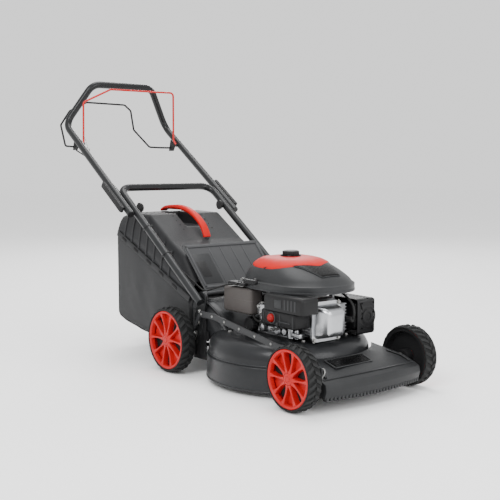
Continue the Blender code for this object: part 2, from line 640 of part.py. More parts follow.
FILTER_LOW = (0.068, -0.150, FILTER_Z - 0.012)
FILTER_HIGH = (0.236, -BLOCK_SIDE - GAP, 0.2812)
FILTER_OPEN = pivot("air_filter_cover_slide", (0, FILTER_LOW[1], FILTER_Z), ROOT)
lid = solid("air_filter_cover", box(FILTER_LOW, FILTER_HIGH, 0.010), "black_plastic", FILTER_OPEN)
combine(lid, "DIFFERENCE", box((FILTER_LOW[0] + 0.003, FILTER_LOW[1] + 0.003, FILTER_LOW[2] - 0.02),
                               (FILTER_HIGH[0] - 0.003, FILTER_HIGH[1] + 0.02, FILTER_HIGH[2] - 0.003), 0.008))
combine(lid, "DIFFERENCE", box((0.04, -0.18, 0.19), (0.26, -0.05, FILTER_Z)))
solid("air_filter_element", box((0.080, -0.141, FILTER_Z), (0.190, -0.094, 0.268), 0.004), "fabric", ROOT)

solid("fuel_tank", box((-0.138, -0.136, 0.204), (-0.003, -BLOCK_SIDE - GAP, COVER_Z - 0.0015), 0.010),
      "tank_plastic", ROOT)
OIL_AT = (-0.036, 0.1725)
OIL = pivot("oil_cap_turn", (OIL_AT[0], -BLOCK_SIDE, OIL_AT[1]), ROOT)
cap = [(0, -BLOCK_SIDE - GAP), (0.014, -BLOCK_SIDE - GAP), (0.014, -BLOCK_SIDE - 0.010),
       (0.0225, -BLOCK_SIDE - 0.010), (0.0225, -BLOCK_SIDE - 0.030), (0, -BLOCK_SIDE - 0.033)]
solid("oil_cap", turned(cap, (OIL_AT[0], 0, OIL_AT[1]), "Y", 24), "black_plastic", OIL)

# blower cover: level sections, the hollow set in by the wall
COVER_LEVELS = ((COVER_Z, -0.104, 0.222, 0.130), (0.300, -0.106, 0.226, 0.132),
                (0.326, -0.100, 0.214, 0.124), (0.348, -0.086, 0.190, 0.108),
                (0.360, -0.070, 0.166, 0.090), (COVER_TOP_Z, -0.055, 0.145, 0.074))


def blower(inset, first, last):
    """The blower cover's skin, or the hollow under it."""
    rings = []
    for level, rear, front, side in COVER_LEVELS:
        height = min(max(level - inset, first), last)
        rings.append(section_z(height, (rear + inset, -side + inset), (front - inset, side - inset),
                               0.060 - inset))
    return loft(rings)


shroud = solid("engine_cover", blower(0, COVER_Z, COVER_TOP_Z), "black_plastic", ROOT)
combine(shroud, "DIFFERENCE", blower(COVER_T, COVER_Z + COVER_T, COVER_TOP_Z - COVER_T))
combine(shroud, "DIFFERENCE", rod(0.094, COVER_Z - 0.01, COVER_Z + COVER_T + 0.001, AXIS, "Z", 40))

INSERT_LOW = COVER_TOP_Z + GAP
rings = [section_z(INSERT_LOW, (-0.050, -0.066), (0.108, 0.066), 0.040),
         section_z(INSERT_LOW + 0.004, (-0.050, -0.066), (0.108, 0.066), 0.040),
         section_z(INSERT_LOW + 0.010, (-0.030, -0.046), (0.088, 0.046), 0.030)]
solid("cover_insert", loft(rings), "red_plastic", ROOT)
CAP_LOW = INSERT_LOW + 0.010 + GAP
FUEL_CAP = pivot("fuel_cap_turn", (0.018, 0, CAP_LOW), ROOT)
cap = [(0, CAP_LOW), (0.023, CAP_LOW), (0.025, CAP_LOW + 0.003), (0.025, CAP_LOW + 0.010),
       (0.021, CAP_LOW + 0.013), (0, CAP_LOW + 0.013)]
solid("fuel_cap", turned(cap, (0.018, 0, 0), "Z", 24), "black_plastic", FUEL_CAP)

RECOIL = pivot("recoil_pull", (0.012, -0.142, 0.306), ROOT)
grip = solid("recoil_handle", box((-0.016, -0.156, 0.299), (0.040, -0.140, 0.313), 0.005),
             "black_plastic", RECOIL)
combine(grip, "UNION", rod(0.004, -0.1415, -0.1318, (0.012, 0, 0.306), "Y", 12))


# ---------------------------------------------------------------- handle
def lean(x):
    """The height of the handle's straight line at x."""
    (x0, z0), (x1, z1) = HANDLE_FOOT, LOWER_BAR
    return z0 + (z1 - z0) * (x - x0) / (x1 - x0)


foot_x = HANDLE_FOOT[0] + 0.012
bar_x, bar_z = LOWER_BAR
lower_route = [(foot_x, LOWER_TUBE_Y, lean(foot_x)), (bar_x, LOWER_TUBE_Y, bar_z)]
lower_route += [(x, -y, z) for x, y, z in reversed(lower_route)]
tube("lower_handle", eased(lower_route, 0.050), TUBE_R, "tube_paint", LOWER_FOLD, 3)

start_x, start_z = UPPER_START
bend_x, bend_z = UPPER_BEND
top_x, top_z = UPPER_TOP
upper_route = [(start_x, UPPER_TUBE_Y, start_z), (bend_x, UPPER_TUBE_Y, bend_z),
               (top_x, UPPER_TOP_HALF, top_z)]
upper_route += [(x, -y, z) for x, y, z in reversed(upper_route)]
tube("upper_handle", eased(upper_route, 0.055), TUBE_R, "tube_paint", UPPER_FOLD, 3)



BRACKET_Y = (0.2055, 0.2095)


def under_tube(x):
    """The height of the bail brackets' seat under the upper handle's straight tube at x."""
    slope = (bend_z - start_z) / (bend_x - start_x)
    offset = UPPER_TUBE_Y - BRACKET_Y[1]
    seat = math.sqrt(TUBE_R * TUBE_R - offset * offset) + GAP
    return start_z + slope * (x - start_x) - seat * math.sqrt(1 + slope * slope)


LEVER_IN_Y = UPPER_TUBE_Y + TUBE_R + GAP
LEVER_T = 0.014
LEVER_FOOT = (-0.556, 0.494)
LEVER_END = (-0.672, 0.572)
LEVER_HALF = 0.010


def lever(side):
    """A clamp lever, with ends round enough to turn about its hinge beside the tube."""
    foot, end = Vector(LEVER_FOOT), Vector(LEVER_END)
    along = (end - foot).normalized()
    across = Vector((-along.y, along.x)) * LEVER_HALF
    middle_y = side * (LEVER_IN_Y + LEVER_T / 2)
    rings = []
    for way in (-1, 1):
        ring = []
        for s, y in capsule((0, 0), ((end - foot).length, 0), LEVER_T / 2):
            point = foot + along * s + across * way
            ring.append((point.x, middle_y + y, point.y))
        rings.append(ring)
    return loft(rings)


for side, word in ((1, "left"), (-1, "right")):
    hinge_y = side * (LEVER_IN_Y + LEVER_T / 2)
    hinge_at = pivot("clamp_" + word, (LEVER_FOOT[0], hinge_y, LEVER_FOOT[1]), UPPER_FOLD)
    solid("clamp_lever_" + word, lever(side), "black_plastic", hinge_at)

BAIL_Y = UPPER_TUBE_Y - TUBE_R - BAIL_R - GAP
blade_x, blade_z = BLADE_BAIL_PIVOT
BLADE_BAIL = pivot("blade_bail_pivot", (blade_x, 0, blade_z), UPPER_FOLD)
blade_route = [(blade_x, BAIL_Y, blade_z), (blade_x - 0.012, BAIL_Y - 0.006, blade_z + 0.020),
               (-0.886, BAIL_Y - 0.006, 0.911), (-0.886, -0.080, 0.911), (-0.883, -BAIL_Y + 0.006, 0.860),
               (blade_x - 0.012, -BAIL_Y + 0.006, blade_z + 0.020), (blade_x, -BAIL_Y, blade_z)]
tube("blade_bail", eased(blade_route, 0.016, 3), BAIL_R, "red_paint", BLADE_BAIL)

drive_x, drive_z = DRIVE_BAIL_PIVOT
DRIVE_BAIL = pivot("drive_bail_pivot", (drive_x, 0, drive_z), UPPER_FOLD)
drive_route = [(drive_x, -0.2135, drive_z), (-0.975, -0.220, 0.706), (-1.005, -0.222, 0.783),
               (-1.005, -0.185, 0.835), (-1.005, -0.115, 0.869), (-1.005, 0.048, 0.866),
               (-1.005, 0.075, 0.845), (-1.004, 0.087, 0.772), (-0.985, 0.146, 0.706),
               (-0.960, 0.180, 0.704), (drive_x, BRACKET_Y[0] - BAIL_R + GAP, drive_z)]
tube("drive_bail", eased(drive_route, 0.014, 3), BAIL_R, "black_paint", DRIVE_BAIL)

for side, word in ((1, "left"), (-1, "right")):
    low, high = sorted((side * BRACKET_Y[0], side * BRACKET_Y[1]))
    outline = [(drive_x - 0.014, drive_z - 0.012), (drive_x + 0.016, drive_z - 0.012),
               (drive_x + 0.030, under_tube(drive_x + 0.030)), (drive_x - 0.002, under_tube(drive_x - 0.002))]
    solid("bail_bracket_" + word, prism(outline, "Y", low, high), "black_plastic", UPPER_FOLD)

CABLE_R = 0.0025


def beside_tube(x, drop):
    """A point on a cable clipped to the inner side of the right lower tube, just below its middle."""
    reach = TUBE_R + CABLE_R + GAP
    return (x, -LOWER_TUBE_Y + math.sqrt(reach * reach - drop * drop), lean(x) - drop * 1.2)


brake_route = [(-0.860, -0.1905, 0.690), (-0.800, -0.186, 0.634),
               (-0.700, -0.184, 0.572), (-0.600, -0.172, 0.502),
               beside_tube(-0.520, 0.001), beside_tube(-0.300, 0.001), (-0.190, -0.166, 0.256),
               (-0.100, -0.150, 0.286), (-0.060, -0.1390, 0.292)]
drive_cable_route = [(-0.905, -0.2130, 0.690), (-0.850, -0.205, 0.668), (-0.760, -0.196, 0.600),
                     (-0.640, -0.172, 0.515), beside_tube(-0.480, 0.0075), beside_tube(-0.300, 0.0075),
                     (-0.235, -0.176, 0.226)]
tube("brake_cable", eased(brake_route, 0.040, 2), CABLE_R, "rubber", ROOT)
tube("drive_cable", eased(drive_cable_route, 0.040, 2), CABLE_R, "rubber", ROOT)


# ---------------------------------------------------------------- rear flap and grass bag
foot = Vector(FLAP_FOOT)
rise = (Vector(FLAP_TOP) - foot).normalized()
FLAP = pivot("flap_hinge", (FLAP_FOOT[0], 0, FLAP_FOOT[1]), ROOT)
knuckle = rod(0.006, -FLAP_HALF, FLAP_HALF, (FLAP_FOOT[0], 0, FLAP_FOOT[1]), "Y", 12)
flap = solid("rear_flap", knuckle, "light_plastic", FLAP)
across = Vector((-rise.y, rise.x)) * FLAP_T / 2
top = Vector(FLAP_TOP)
combine(flap, "UNION", prism([foot - across, foot + across, top + across, top - across], "Y",
                             -FLAP_HALF, FLAP_HALF))
combine(flap, "DIFFERENCE", rod(0.0026, -0.3, 0.3, (FLAP_FOOT[0], 0, FLAP_FOOT[1]), "Y", 12))
hinge_rod = solid("flap_rod", rod(0.0022, -FLAP_HALF - 0.012, FLAP_HALF + 0.012, (FLAP_FOOT[0], 0, FLAP_FOOT[1]),
                                  "Y", 12), "steel", ROOT)
for side in (-1, 1):
    low, high = sorted((side * (FLAP_HALF + 0.002), side * (FLAP_HALF + 0.008)))
    lug = box((FLAP_FOOT[0] - 0.007, low, 0.2258), (FLAP_FOOT[0] + 0.007, high, FLAP_FOOT[1] + 0.007), 0.001)
    combine(hinge_rod, "UNION", lug)

BAG = pivot("bag_lift", (BAG_FRONT_X, 0, 0.20), ROOT)
# stations along the bag: x, height of the fabric's floor, height of the rim, height of the lid's crest
BAG_STATIONS = ((BAG_FRONT_X, 0.116, 0.226, 0.276), (-0.330, 0.098, 0.254, 0.357),
                (-0.400, 0.086, 0.284, 0.392),
                (-0.460, 0.078, 0.309, 0.430), (-0.530, 0.075, 0.338, 0.474), (-0.650, 0.094, 0.388, 0.476),
                (BAG_REAR_X, 0.110, 0.409, 0.462))


def bag_part(inset, floor_of, roof_of, corner, stretch=0.0):
    """A skin of the bag between two of its lines, set in by a wall."""
    rings = []
    for number, station in enumerate(BAG_STATIONS):
        x = station[0]
        if number == 0:
            x += stretch
        if number == len(BAG_STATIONS) - 1:
            x += inset
        rings.append(section_x(x, BAG_HALF - inset, floor_of(station), roof_of(station), corner))
    return loft(rings)


def recess(wall):
    """The hollow in the lid under the carrying handle, or that hollow grown by a wall."""
    (x0, y0, z0), (x1, y1, z1) = RECESS
    return box((x0 - wall, y0 - wall, z0 - wall), (x1 + wall, y1 + wall, z1 + wall))


body = solid("bag_body", bag_part(0, lambda s: s[1], lambda s: s[2] - GAP, 0.020), "fabric", BAG)
combine(body, "DIFFERENCE", bag_part(BAG_T, lambda s: s[1] + BAG_T, lambda s: s[2] + 0.03, 0.017, 0.02))
lid = solid("bag_lid", bag_part(0, lambda s: s[2], lambda s: s[3], 0.016), "black_plastic", BAG)
hollow = tool(bag_part(BAG_T, lambda s: s[2] - 0.03, lambda s: s[3] - BAG_T, 0.013, -BAG_T), BAG)
spare = hollow.modifiers.new("recess_floor", "BOOLEAN")
spare.operation = "DIFFERENCE"
spare.solver = "EXACT"
spare.object = tool(recess(BAG_T), BAG)
cut = lid.modifiers.new("hollow", "BOOLEAN")
cut.operation = "DIFFERENCE"
cut.solver = "EXACT"
cut.object = hollow
combine(lid, "DIFFERENCE", recess(0))
for side in (-1, 1):
    low, high = sorted((side * HOOK_Y[0], side * HOOK_Y[1]))
    hook = box((BAG_FRONT_X - 2 * BAG_T, low, TUNNEL_TOP_Z + GAP),
               (BAG_FRONT_X + HOOK_REACH, high, HOOK_TOP_Z))
    combine(lid, "UNION", hook)


def on_lid(x):
    """A point just above the lid's crest at x."""
    for ahead, behind in zip(BAG_STATIONS, BAG_STATIONS[1:]):
        if behind[0] <= x <= ahead[0]:
            share = (ahead[0] - x) / (ahead[0] - behind[0])
            return (x, ahead[3] + (behind[3] - ahead[3]) * share + GAP)
    raise ValueError("x is outside the bag")


grip_line = [on_lid(-0.668), (-0.668, 0.487), (-0.640, 0.497), (-0.560, 0.502), (-0.480, 0.488),
             (-0.425, 0.452), (-0.396, 0.404), on_lid(-0.396), on_lid(-0.4003), on_lid(-0.414),
             (-0.437, 0.436), (-0.485, 0.470),
             (-0.560, 0.486), (-0.635, 0.484), on_lid(-0.649)]
solid("bag_handle", prism(grip_line, "Y", -0.014, 0.014), "red_plastic", BAG)


# ---------------------------------------------------------------- the assembly over its origin
bpy.context.view_layer.update()
graph = bpy.context.evaluated_depsgraph_get()
spread = []
for thing in bpy.data.objects:
    if thing.type in {"MESH", "CURVE"} and not thing.hide_render:
        seen = thing.evaluated_get(graph)
        spread += [(seen.matrix_world @ vertex.co).x for vertex in seen.to_mesh().vertices]
        seen.to_mesh_clear()
ROOT.location.x = -(min(spread) + max(spread)) / 2
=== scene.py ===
"""The looks of the petrol lawn mower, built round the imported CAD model.

Lengths are metres.  Shapes are written in mower coordinates: +X forward, +Y to the mower's left, +Z up,
from a point on the ground midway between the axles.  SHIFT carries them to the row's frame.
"""

import math

import bmesh
import bpy
from mathutils import Matrix, Vector, noise
from mathutils.bvhtree import BVHTree


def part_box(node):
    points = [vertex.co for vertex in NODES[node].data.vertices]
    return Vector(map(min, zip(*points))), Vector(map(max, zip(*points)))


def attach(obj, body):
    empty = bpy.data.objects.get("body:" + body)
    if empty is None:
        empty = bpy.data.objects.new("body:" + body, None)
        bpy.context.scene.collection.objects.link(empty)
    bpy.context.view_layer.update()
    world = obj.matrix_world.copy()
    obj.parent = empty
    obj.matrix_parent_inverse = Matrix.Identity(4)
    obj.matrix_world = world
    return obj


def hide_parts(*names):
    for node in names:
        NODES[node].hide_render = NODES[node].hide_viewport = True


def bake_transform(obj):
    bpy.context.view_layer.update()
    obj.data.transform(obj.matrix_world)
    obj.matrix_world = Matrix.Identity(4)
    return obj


TUBE_R = 0.0125  # the handle's tubes
BAIL_R = 0.0035  # the bails' rods
CABLE_R = 0.0025  # the control cables
GAP = 0.0003  # between a cable and its tube

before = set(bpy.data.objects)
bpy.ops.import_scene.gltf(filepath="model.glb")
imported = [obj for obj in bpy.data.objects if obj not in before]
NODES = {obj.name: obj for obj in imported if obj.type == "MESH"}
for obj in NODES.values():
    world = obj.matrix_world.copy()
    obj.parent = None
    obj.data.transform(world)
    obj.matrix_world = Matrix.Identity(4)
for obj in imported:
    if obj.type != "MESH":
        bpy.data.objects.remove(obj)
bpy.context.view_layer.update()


def middle(node):
    """The middle of a CAD node's box."""
    low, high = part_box(node)
    return (Vector(low) + Vector(high)) / 2


CRANK_X = 0.010
SHIFT = middle("crankshaft").x - CRANK_X


# ---------------------------------------------------------------- camera, light and floor
def aim(thing, target):
    """Turn a camera or light to look at a point."""
    thing.rotation_euler = (Vector(target) - thing.location).to_track_quat("-Z", "Y").to_euler()


def add_camera():
    """The camera of the photo, as solved from the wheels."""
    data = bpy.data.cameras.new("camera")
    data.sensor_width = 36.0
    data.lens = 63.3
    data.clip_end = 50.0
    camera = bpy.data.objects.new("camera", data)
    bpy.context.scene.collection.objects.link(camera)
    camera.location = (1.961 + SHIFT, -1.715, 0.648)
    aim(camera, (-0.175 + SHIFT, 0.0, 0.374))
    bpy.context.scene.camera = camera


def add_light(name, location, target, size, power):
    """A round soft light."""
    data = bpy.data.lights.new(name, "AREA")
    data.shape = "DISK"
    data.size = size
    data.energy = power
    light = bpy.data.objects.new(name, data)
    bpy.context.scene.collection.objects.link(light)
    light.location = location
    aim(light, target)


def add_stage():
    """A white surround, a pale floor and soft lights."""
    world = bpy.data.worlds.new("studio")
    world.use_nodes = True
    world.node_tree.nodes["Background"].inputs["Color"].default_value = (1.0, 1.0, 1.0, 1.0)
    world.node_tree.nodes["Background"].inputs["Strength"].default_value = 1.25
    bpy.context.scene.world = world
    bm = bmesh.new()
    bmesh.ops.create_grid(bm, x_segments=1, y_segments=1, size=15.0)
    mesh = bpy.data.meshes.new("floor")
    bm.to_mesh(mesh)
    bm.free()
    floor = bpy.data.objects.new("floor", mesh)
    bpy.context.scene.collection.objects.link(floor)
    floor.location.z = -0.0005
    pale = bpy.data.materials.new("floor_pale")
    pale.use_nodes = True
    pale.node_tree.nodes["Principled BSDF"].inputs["Base Color"].default_value = (0.98, 0.98, 0.98, 1)
    pale.node_tree.nodes["Principled BSDF"].inputs["Roughness"].default_value = 0.9
    mesh.materials.append(pale)
    middle_of = (SHIFT - 0.2, 0, 0.35)
    add_light("key", (1.8, -3.2, 3.2), middle_of, 2.2, 150)
    add_light("fill", (3.4, 0.6, 1.6), middle_of, 2.0, 60)
    add_light("top", (-0.6, 0.4, 3.6), middle_of, 2.4, 90)
    add_light("rim", (-2.8, 2.4, 2.4), middle_of, 1.6, 60)


# ---------------------------------------------------------------- materials
def shader_of(name):
    """A new node material; returns it with its tree and Principled shader."""
    made = bpy.data.materials.new(name)
    made.use_nodes = True
    tree = made.node_tree
    return made, tree, tree.nodes["Principled BSDF"]


def add_node(tree, kind, **values):
    """A new shader node with its sockets or fields set."""
    node = tree.nodes.new(kind)
    for key, value in values.items():
        if key in node.inputs:
            node.inputs[key].default_value = value
        else:
            setattr(node, key, value)
    return node


def varied(name, colour, rough=0.5, metal=0.0, grain=400.0, bump=0.15, blotch=0.12, rough_swing=0.12,
           edge_highlight=0.0, coat=0.0, stretch=(1, 1, 1), spec=0.2, depth=0.0006):
    """A surface with fine grain in its bump, slow blotches in its colour and gloss, and a painted highlight
    on its convex edges.
    """
    made, tree, shader = shader_of(name)
    link = tree.links.new
    place = add_node(tree, "ShaderNodeTexCoord")
    scale = add_node(tree, "ShaderNodeMapping")
    scale.inputs["Scale"].default_value = stretch
    link(place.outputs["Object"], scale.inputs["Vector"])
    slow = add_node(tree, "ShaderNodeTexNoise", Scale=9.0, Detail=4.0, Roughness=0.6)
    fine = add_node(tree, "ShaderNodeTexNoise", Scale=grain, Detail=3.0, Roughness=0.6)
    link(place.outputs["Object"], slow.inputs["Vector"])
    link(scale.outputs["Vector"], fine.inputs["Vector"])
    tint = add_node(tree, "ShaderNodeValToRGB")
    dark = tuple(c * (1 - blotch) for c in colour)
    light = tuple(min(1.0, c * (1 + blotch) + 0.002) for c in colour)
    tint.color_ramp.elements[0].position = 0.3
    tint.color_ramp.elements[0].color = (*dark, 1)
    tint.color_ramp.elements[1].position = 0.7
    tint.color_ramp.elements[1].color = (*light, 1)
    link(slow.outputs["Fac"], tint.inputs["Fac"])
    colour_out = tint.outputs["Color"]
    # Painted highlight: convex edges, found by pointiness, are painted lighter than the rest of the
    # surface.
    if edge_highlight:
        shape = add_node(tree, "ShaderNodeNewGeometry")
        edge = add_node(tree, "ShaderNodeMapRange")
        edge.inputs["From Min"].default_value = 0.52
        edge.inputs["From Max"].default_value = 0.60
        edge.inputs["To Max"].default_value = edge_highlight
        link(shape.outputs["Pointiness"], edge.inputs["Value"])
        mix = add_node(tree, "ShaderNodeMix", data_type="RGBA")
        edge_highlight_colour = tuple(min(1.0, c * 1.9 + 0.012) for c in colour)
        mix.inputs[7].default_value = (*edge_highlight_colour, 1)
        link(edge.outputs["Result"], mix.inputs[0])
        link(colour_out, mix.inputs[6])
        colour_out = mix.outputs[2]
    link(colour_out, shader.inputs["Base Color"])
    gloss = add_node(tree, "ShaderNodeMapRange")
    gloss.inputs["From Min"].default_value = 0.3
    gloss.inputs["From Max"].default_value = 0.7
    gloss.inputs["To Min"].default_value = max(0.05, rough - rough_swing)
    gloss.inputs["To Max"].default_value = min(1.0, rough + rough_swing)
    link(fine.outputs["Fac"], gloss.inputs["Value"])
    link(gloss.outputs["Result"], shader.inputs["Roughness"])
    bumps = add_node(tree, "ShaderNodeBump", Strength=bump, Distance=depth)
    link(fine.outputs["Fac"], bumps.inputs["Height"])
    link(bumps.outputs["Normal"], shader.inputs["Normal"])
    shader.inputs["Metallic"].default_value = metal
    shader.inputs["Coat Weight"].default_value = coat
    shader.inputs["Coat Roughness"].default_value = 0.12
    shader.inputs["Specular IOR Level"].default_value = spec
    return made


def woven(name, colour, pitch=0.0016, sheen=0.08):
    """A plain weave: two crossed sets of threads, with blotches and fluff."""
    made, tree, shader = shader_of(name)
    link = tree.links.new
    place = add_node(tree, "ShaderNodeTexCoord")
    split = add_node(tree, "ShaderNodeSeparateXYZ")
    link(place.outputs["Object"], split.inputs["Vector"])
    total = add_node(tree, "ShaderNodeMath", operation="ADD")
    link(split.outputs["X"], total.inputs[0])
    link(split.outputs["Y"], total.inputs[1])
    waves = []
    for source in (total.outputs[0], split.outputs["Z"]):
        times = add_node(tree, "ShaderNodeMath", operation="MULTIPLY")
        times.inputs[1].default_value = 2 * math.pi / pitch
        link(source, times.inputs[0])
        wave = add_node(tree, "ShaderNodeMath", operation="SINE")
        link(times.outputs[0], wave.inputs[0])
        waves.append(wave.outputs[0])
    cross = add_node(tree, "ShaderNodeMath", operation="MULTIPLY")
    link(waves[0], cross.inputs[0])
    link(waves[1], cross.inputs[1])
    slow = add_node(tree, "ShaderNodeTexNoise", Scale=14.0, Detail=5.0, Roughness=0.65)
    fluff = add_node(tree, "ShaderNodeTexNoise", Scale=900.0, Detail=2.0)
    link(place.outputs["Object"], slow.inputs["Vector"])
    link(place.outputs["Object"], fluff.inputs["Vector"])
    thread = add_node(tree, "ShaderNodeMapRange")
    thread.inputs["From Min"].default_value = -1.0
    thread.inputs["To Min"].default_value = 0.25
    thread.inputs["To Max"].default_value = 0.75
    link(cross.outputs[0], thread.inputs["Value"])
    blend = add_node(tree, "ShaderNodeMath", operation="MULTIPLY_ADD")
    blend.inputs[1].default_value = 0.45
    link(slow.outputs["Fac"], blend.inputs[0])
    half = add_node(tree, "ShaderNodeMath", operation="MULTIPLY")
    half.inputs[1].default_value = 0.55
    link(thread.outputs["Result"], half.inputs[0])
    link(half.outputs[0], blend.inputs[2])
    tint = add_node(tree, "ShaderNodeValToRGB")
    tint.color_ramp.elements[0].position = 0.25
    tint.color_ramp.elements[0].color = (*[c * 0.62 for c in colour], 1)
    tint.color_ramp.elements[1].position = 0.75
    tint.color_ramp.elements[1].color = (*[c * 1.45 for c in colour], 1)
    link(blend.outputs[0], tint.inputs["Fac"])
    link(tint.outputs["Color"], shader.inputs["Base Color"])
    rise = add_node(tree, "ShaderNodeMath", operation="ADD")
    link(cross.outputs[0], rise.inputs[0])
    link(fluff.outputs["Fac"], rise.inputs[1])
    bumps = add_node(tree, "ShaderNodeBump", Strength=0.5, Distance=0.0004)
    link(rise.outputs[0], bumps.inputs["Height"])
    link(bumps.outputs["Normal"], shader.inputs["Normal"])
    shader.inputs["Roughness"].default_value = 0.92
    shader.inputs["Sheen Weight"].default_value = sheen
    shader.inputs["Sheen Roughness"].default_value = 0.5
    return made


def make_materials():
    """Every finish on the mower, by name."""
    m = {}
    m["deck"] = varied("deck_paint", (0.0126, 0.0132, 0.0144), 0.36, 0.2, 260, 0.10, 0.10, 0.08, 0.5,
                       coat=0.10)
    m["nose"] = varied("nose_plastic", (0.0149, 0.0155, 0.0164), 0.44, 0.0, 700, 0.25, 0.08, 0.08, 0.4)
    m["black"] = varied("black_plastic", (0.0044, 0.0044, 0.0048), 0.46, 0.0, 800, 0.30, 0.10, 0.10, 0.4)
    m["cover"] = varied("cover_plastic", (0.0154, 0.0161, 0.0171), 0.42, 0.0, 900, 0.22, 0.08, 0.08, 0.4)
    m["gloss"] = varied("gloss_black", (0.002, 0.002, 0.0022), 0.28, 0.0, 300, 0.02, 0.05, 0.04, spec=0.12)
    m["lid"] = varied("lid_plastic", (0.0136, 0.0139, 0.0149), 0.52, 0.0, 650, 0.45, 0.10, 0.10, 0.4)
    m["light"] = varied("light_plastic", (0.0330, 0.0338, 0.0353), 0.46, 0.0, 700, 0.3, 0.08, 0.08, 0.3)
    m["tank"] = varied("tank_plastic", (0.0592, 0.0528, 0.0496), 0.45, 0.0, 500, 0.2, 0.12, 0.08, 0.2)
    m["red"] = varied("red_gloss", (0.4464, 0.0072, 0.0058), 0.46, 0.0, 500, 0.06, 0.06, 0.05, spec=0.1)
    m["rim"] = varied("rim_red", (0.3744, 0.0065, 0.0058), 0.38, 0.0, 600, 0.10, 0.08, 0.08, 0.12)
    m["bulb"] = varied("red_bulb", (0.24, 0.005, 0.005), 0.32, 0.0, 300, 0.05, 0.08, 0.06)
    m["bail_red"] = varied("bail_red", (0.4000, 0.0064, 0.0056), 0.30, 0.0, 500, 0.05, 0.06, 0.05, coat=0.1)
    m["bail_black"] = varied("bail_black", (0.005, 0.005, 0.0055), 0.36, 0.0, 500, 0.08, 0.08, 0.06, 0.2)
    m["tube"] = varied("handle_paint", (0.0096, 0.0102, 0.0108), 0.34, 0.15, 700, 0.12, 0.08, 0.07, 0.4,
                       coat=0.1)
    m["muffler"] = varied("muffler_black", (0.0045, 0.0045, 0.005), 0.40, 0.1, 500, 0.15, 0.2, 0.10, 0.4)
    m["tyre"] = varied("tyre_rubber", (0.0066, 0.0069, 0.0070), 0.74, 0.0, 300, 0.5, 0.25, 0.12, 0.4)
    m["rubber"] = varied("soft_rubber", (0.006, 0.006, 0.006), 0.6, 0.0, 500, 0.2, 0.15, 0.10, 0.2)
    m["steel"] = varied("machined_steel", (0.2550, 0.2550, 0.2625), 0.34, 1.0, 500, 0.25, 0.15, 0.10, 0.3,
                        stretch=(1, 1, 8))
    m["zinc"] = varied("zinc_steel", (0.2376, 0.2376, 0.2310), 0.32, 1.0, 300, 0.12, 0.15, 0.10, 0.3)
    m["cast"] = varied("cast_aluminium", (0.2312, 0.2346, 0.2414), 0.46, 1.0, 450, 0.6, 0.12, 0.10, 0.3)
    m["bright"] = varied("bright_aluminium", (0.4320, 0.4392, 0.4536), 0.30, 1.0, 700, 0.12, 0.06, 0.06,
                         0.2)
    m["rail"] = varied("rail_paint", (0.0220, 0.0226, 0.0237), 0.38, 0.2, 500, 0.12, 0.10, 0.08, 0.4)
    m["foam"] = varied("filter_foam", (0.02, 0.02, 0.019), 0.95, 0.0, 900, 1.0, 0.2, 0.02, 0.0, depth=0.002)
    m["fabric"] = woven("bag_fabric", (0.0105, 0.0109, 0.0118))
    m["webbing"] = woven("bag_binding", (0.0063, 0.0063, 0.0070), 0.0022, 0.05)
    return m


# ---------------------------------------------------------------- mesh tools
def put(name, bm, finish, body, angle=35, bevel=0.0, replaces=(), shifted=False, segments=2):
    bmesh.ops.remove_doubles(bm, verts=bm.verts, dist=1e-6)
    bmesh.ops.recalc_face_normals(bm, faces=bm.faces)
    if not shifted:
        bm.transform(Matrix.Translation((SHIFT, 0, 0)))
    mesh = bpy.data.meshes.new(name)
    bm.to_mesh(mesh)
    bm.free()
    mesh.shade_smooth()
    if not bevel:
        mesh.set_sharp_from_angle(angle=math.radians(angle))
    mesh.materials.append(finish)
    piece = bpy.data.objects.new(name, mesh)
    bpy.context.scene.collection.objects.link(piece)
    if bevel:
        rounding = piece.modifiers.new("rounding", "BEVEL")
        rounding.width = bevel
        rounding.segments = segments
        rounding.limit_method = "ANGLE"
        rounding.angle_limit = math.radians(angle)
        rounding.harden_normals = True
        mesh.set_sharp_from_angle(angle=math.radians(70))
    if body:
        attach(piece, body)
    if replaces:
        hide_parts(*replaces)
    return piece


def skin(rings, closed=True, caps=True):
    """A grid of faces through rings of points."""
    bm = bmesh.new()
    rows = [[bm.verts.new(p) for p in ring] for ring in rings]
    count = len(rows[0])
    around = count if closed else count - 1
    for low, high in zip(rows, rows[1:]):
        for i in range(around):
            j = (i + 1) % count
            bm.faces.new((low[i], low[j], high[j], high[i]))
    if caps and closed:
        bm.faces.new(rows[0][::-1])
        bm.faces.new(rows[-1])
    return bm


def add(bm, other):
    """Move another bmesh's faces into this one."""
    known = {}
    for vert in other.verts:
        known[vert] = bm.verts.new(vert.co)
    for face in other.faces:
        bm.faces.new([known[vert] for vert in face.verts])
    other.free()
    return bm


def block(low, high, edge=0.0, segments=2):
    """A box between two corners with rounded edges."""
    bm = bmesh.new()
    centre = (Vector(low) + Vector(high)) / 2
    size = Vector(high) - Vector(low)
    bmesh.ops.create_cube(bm, size=1.0, matrix=Matrix.Translation(centre) @ Matrix.Diagonal((*size, 1.0)))
    if edge:
        bmesh.ops.bevel(bm, geom=bm.edges[:], offset=edge, segments=segments, affect="EDGES", profile=0.5)
    return bm


AXES = {"X": Matrix.Rotation(math.pi / 2, 4, "Y"), "Y": Matrix.Rotation(-math.pi / 2, 4, "X"),
        "Z": Matrix()}


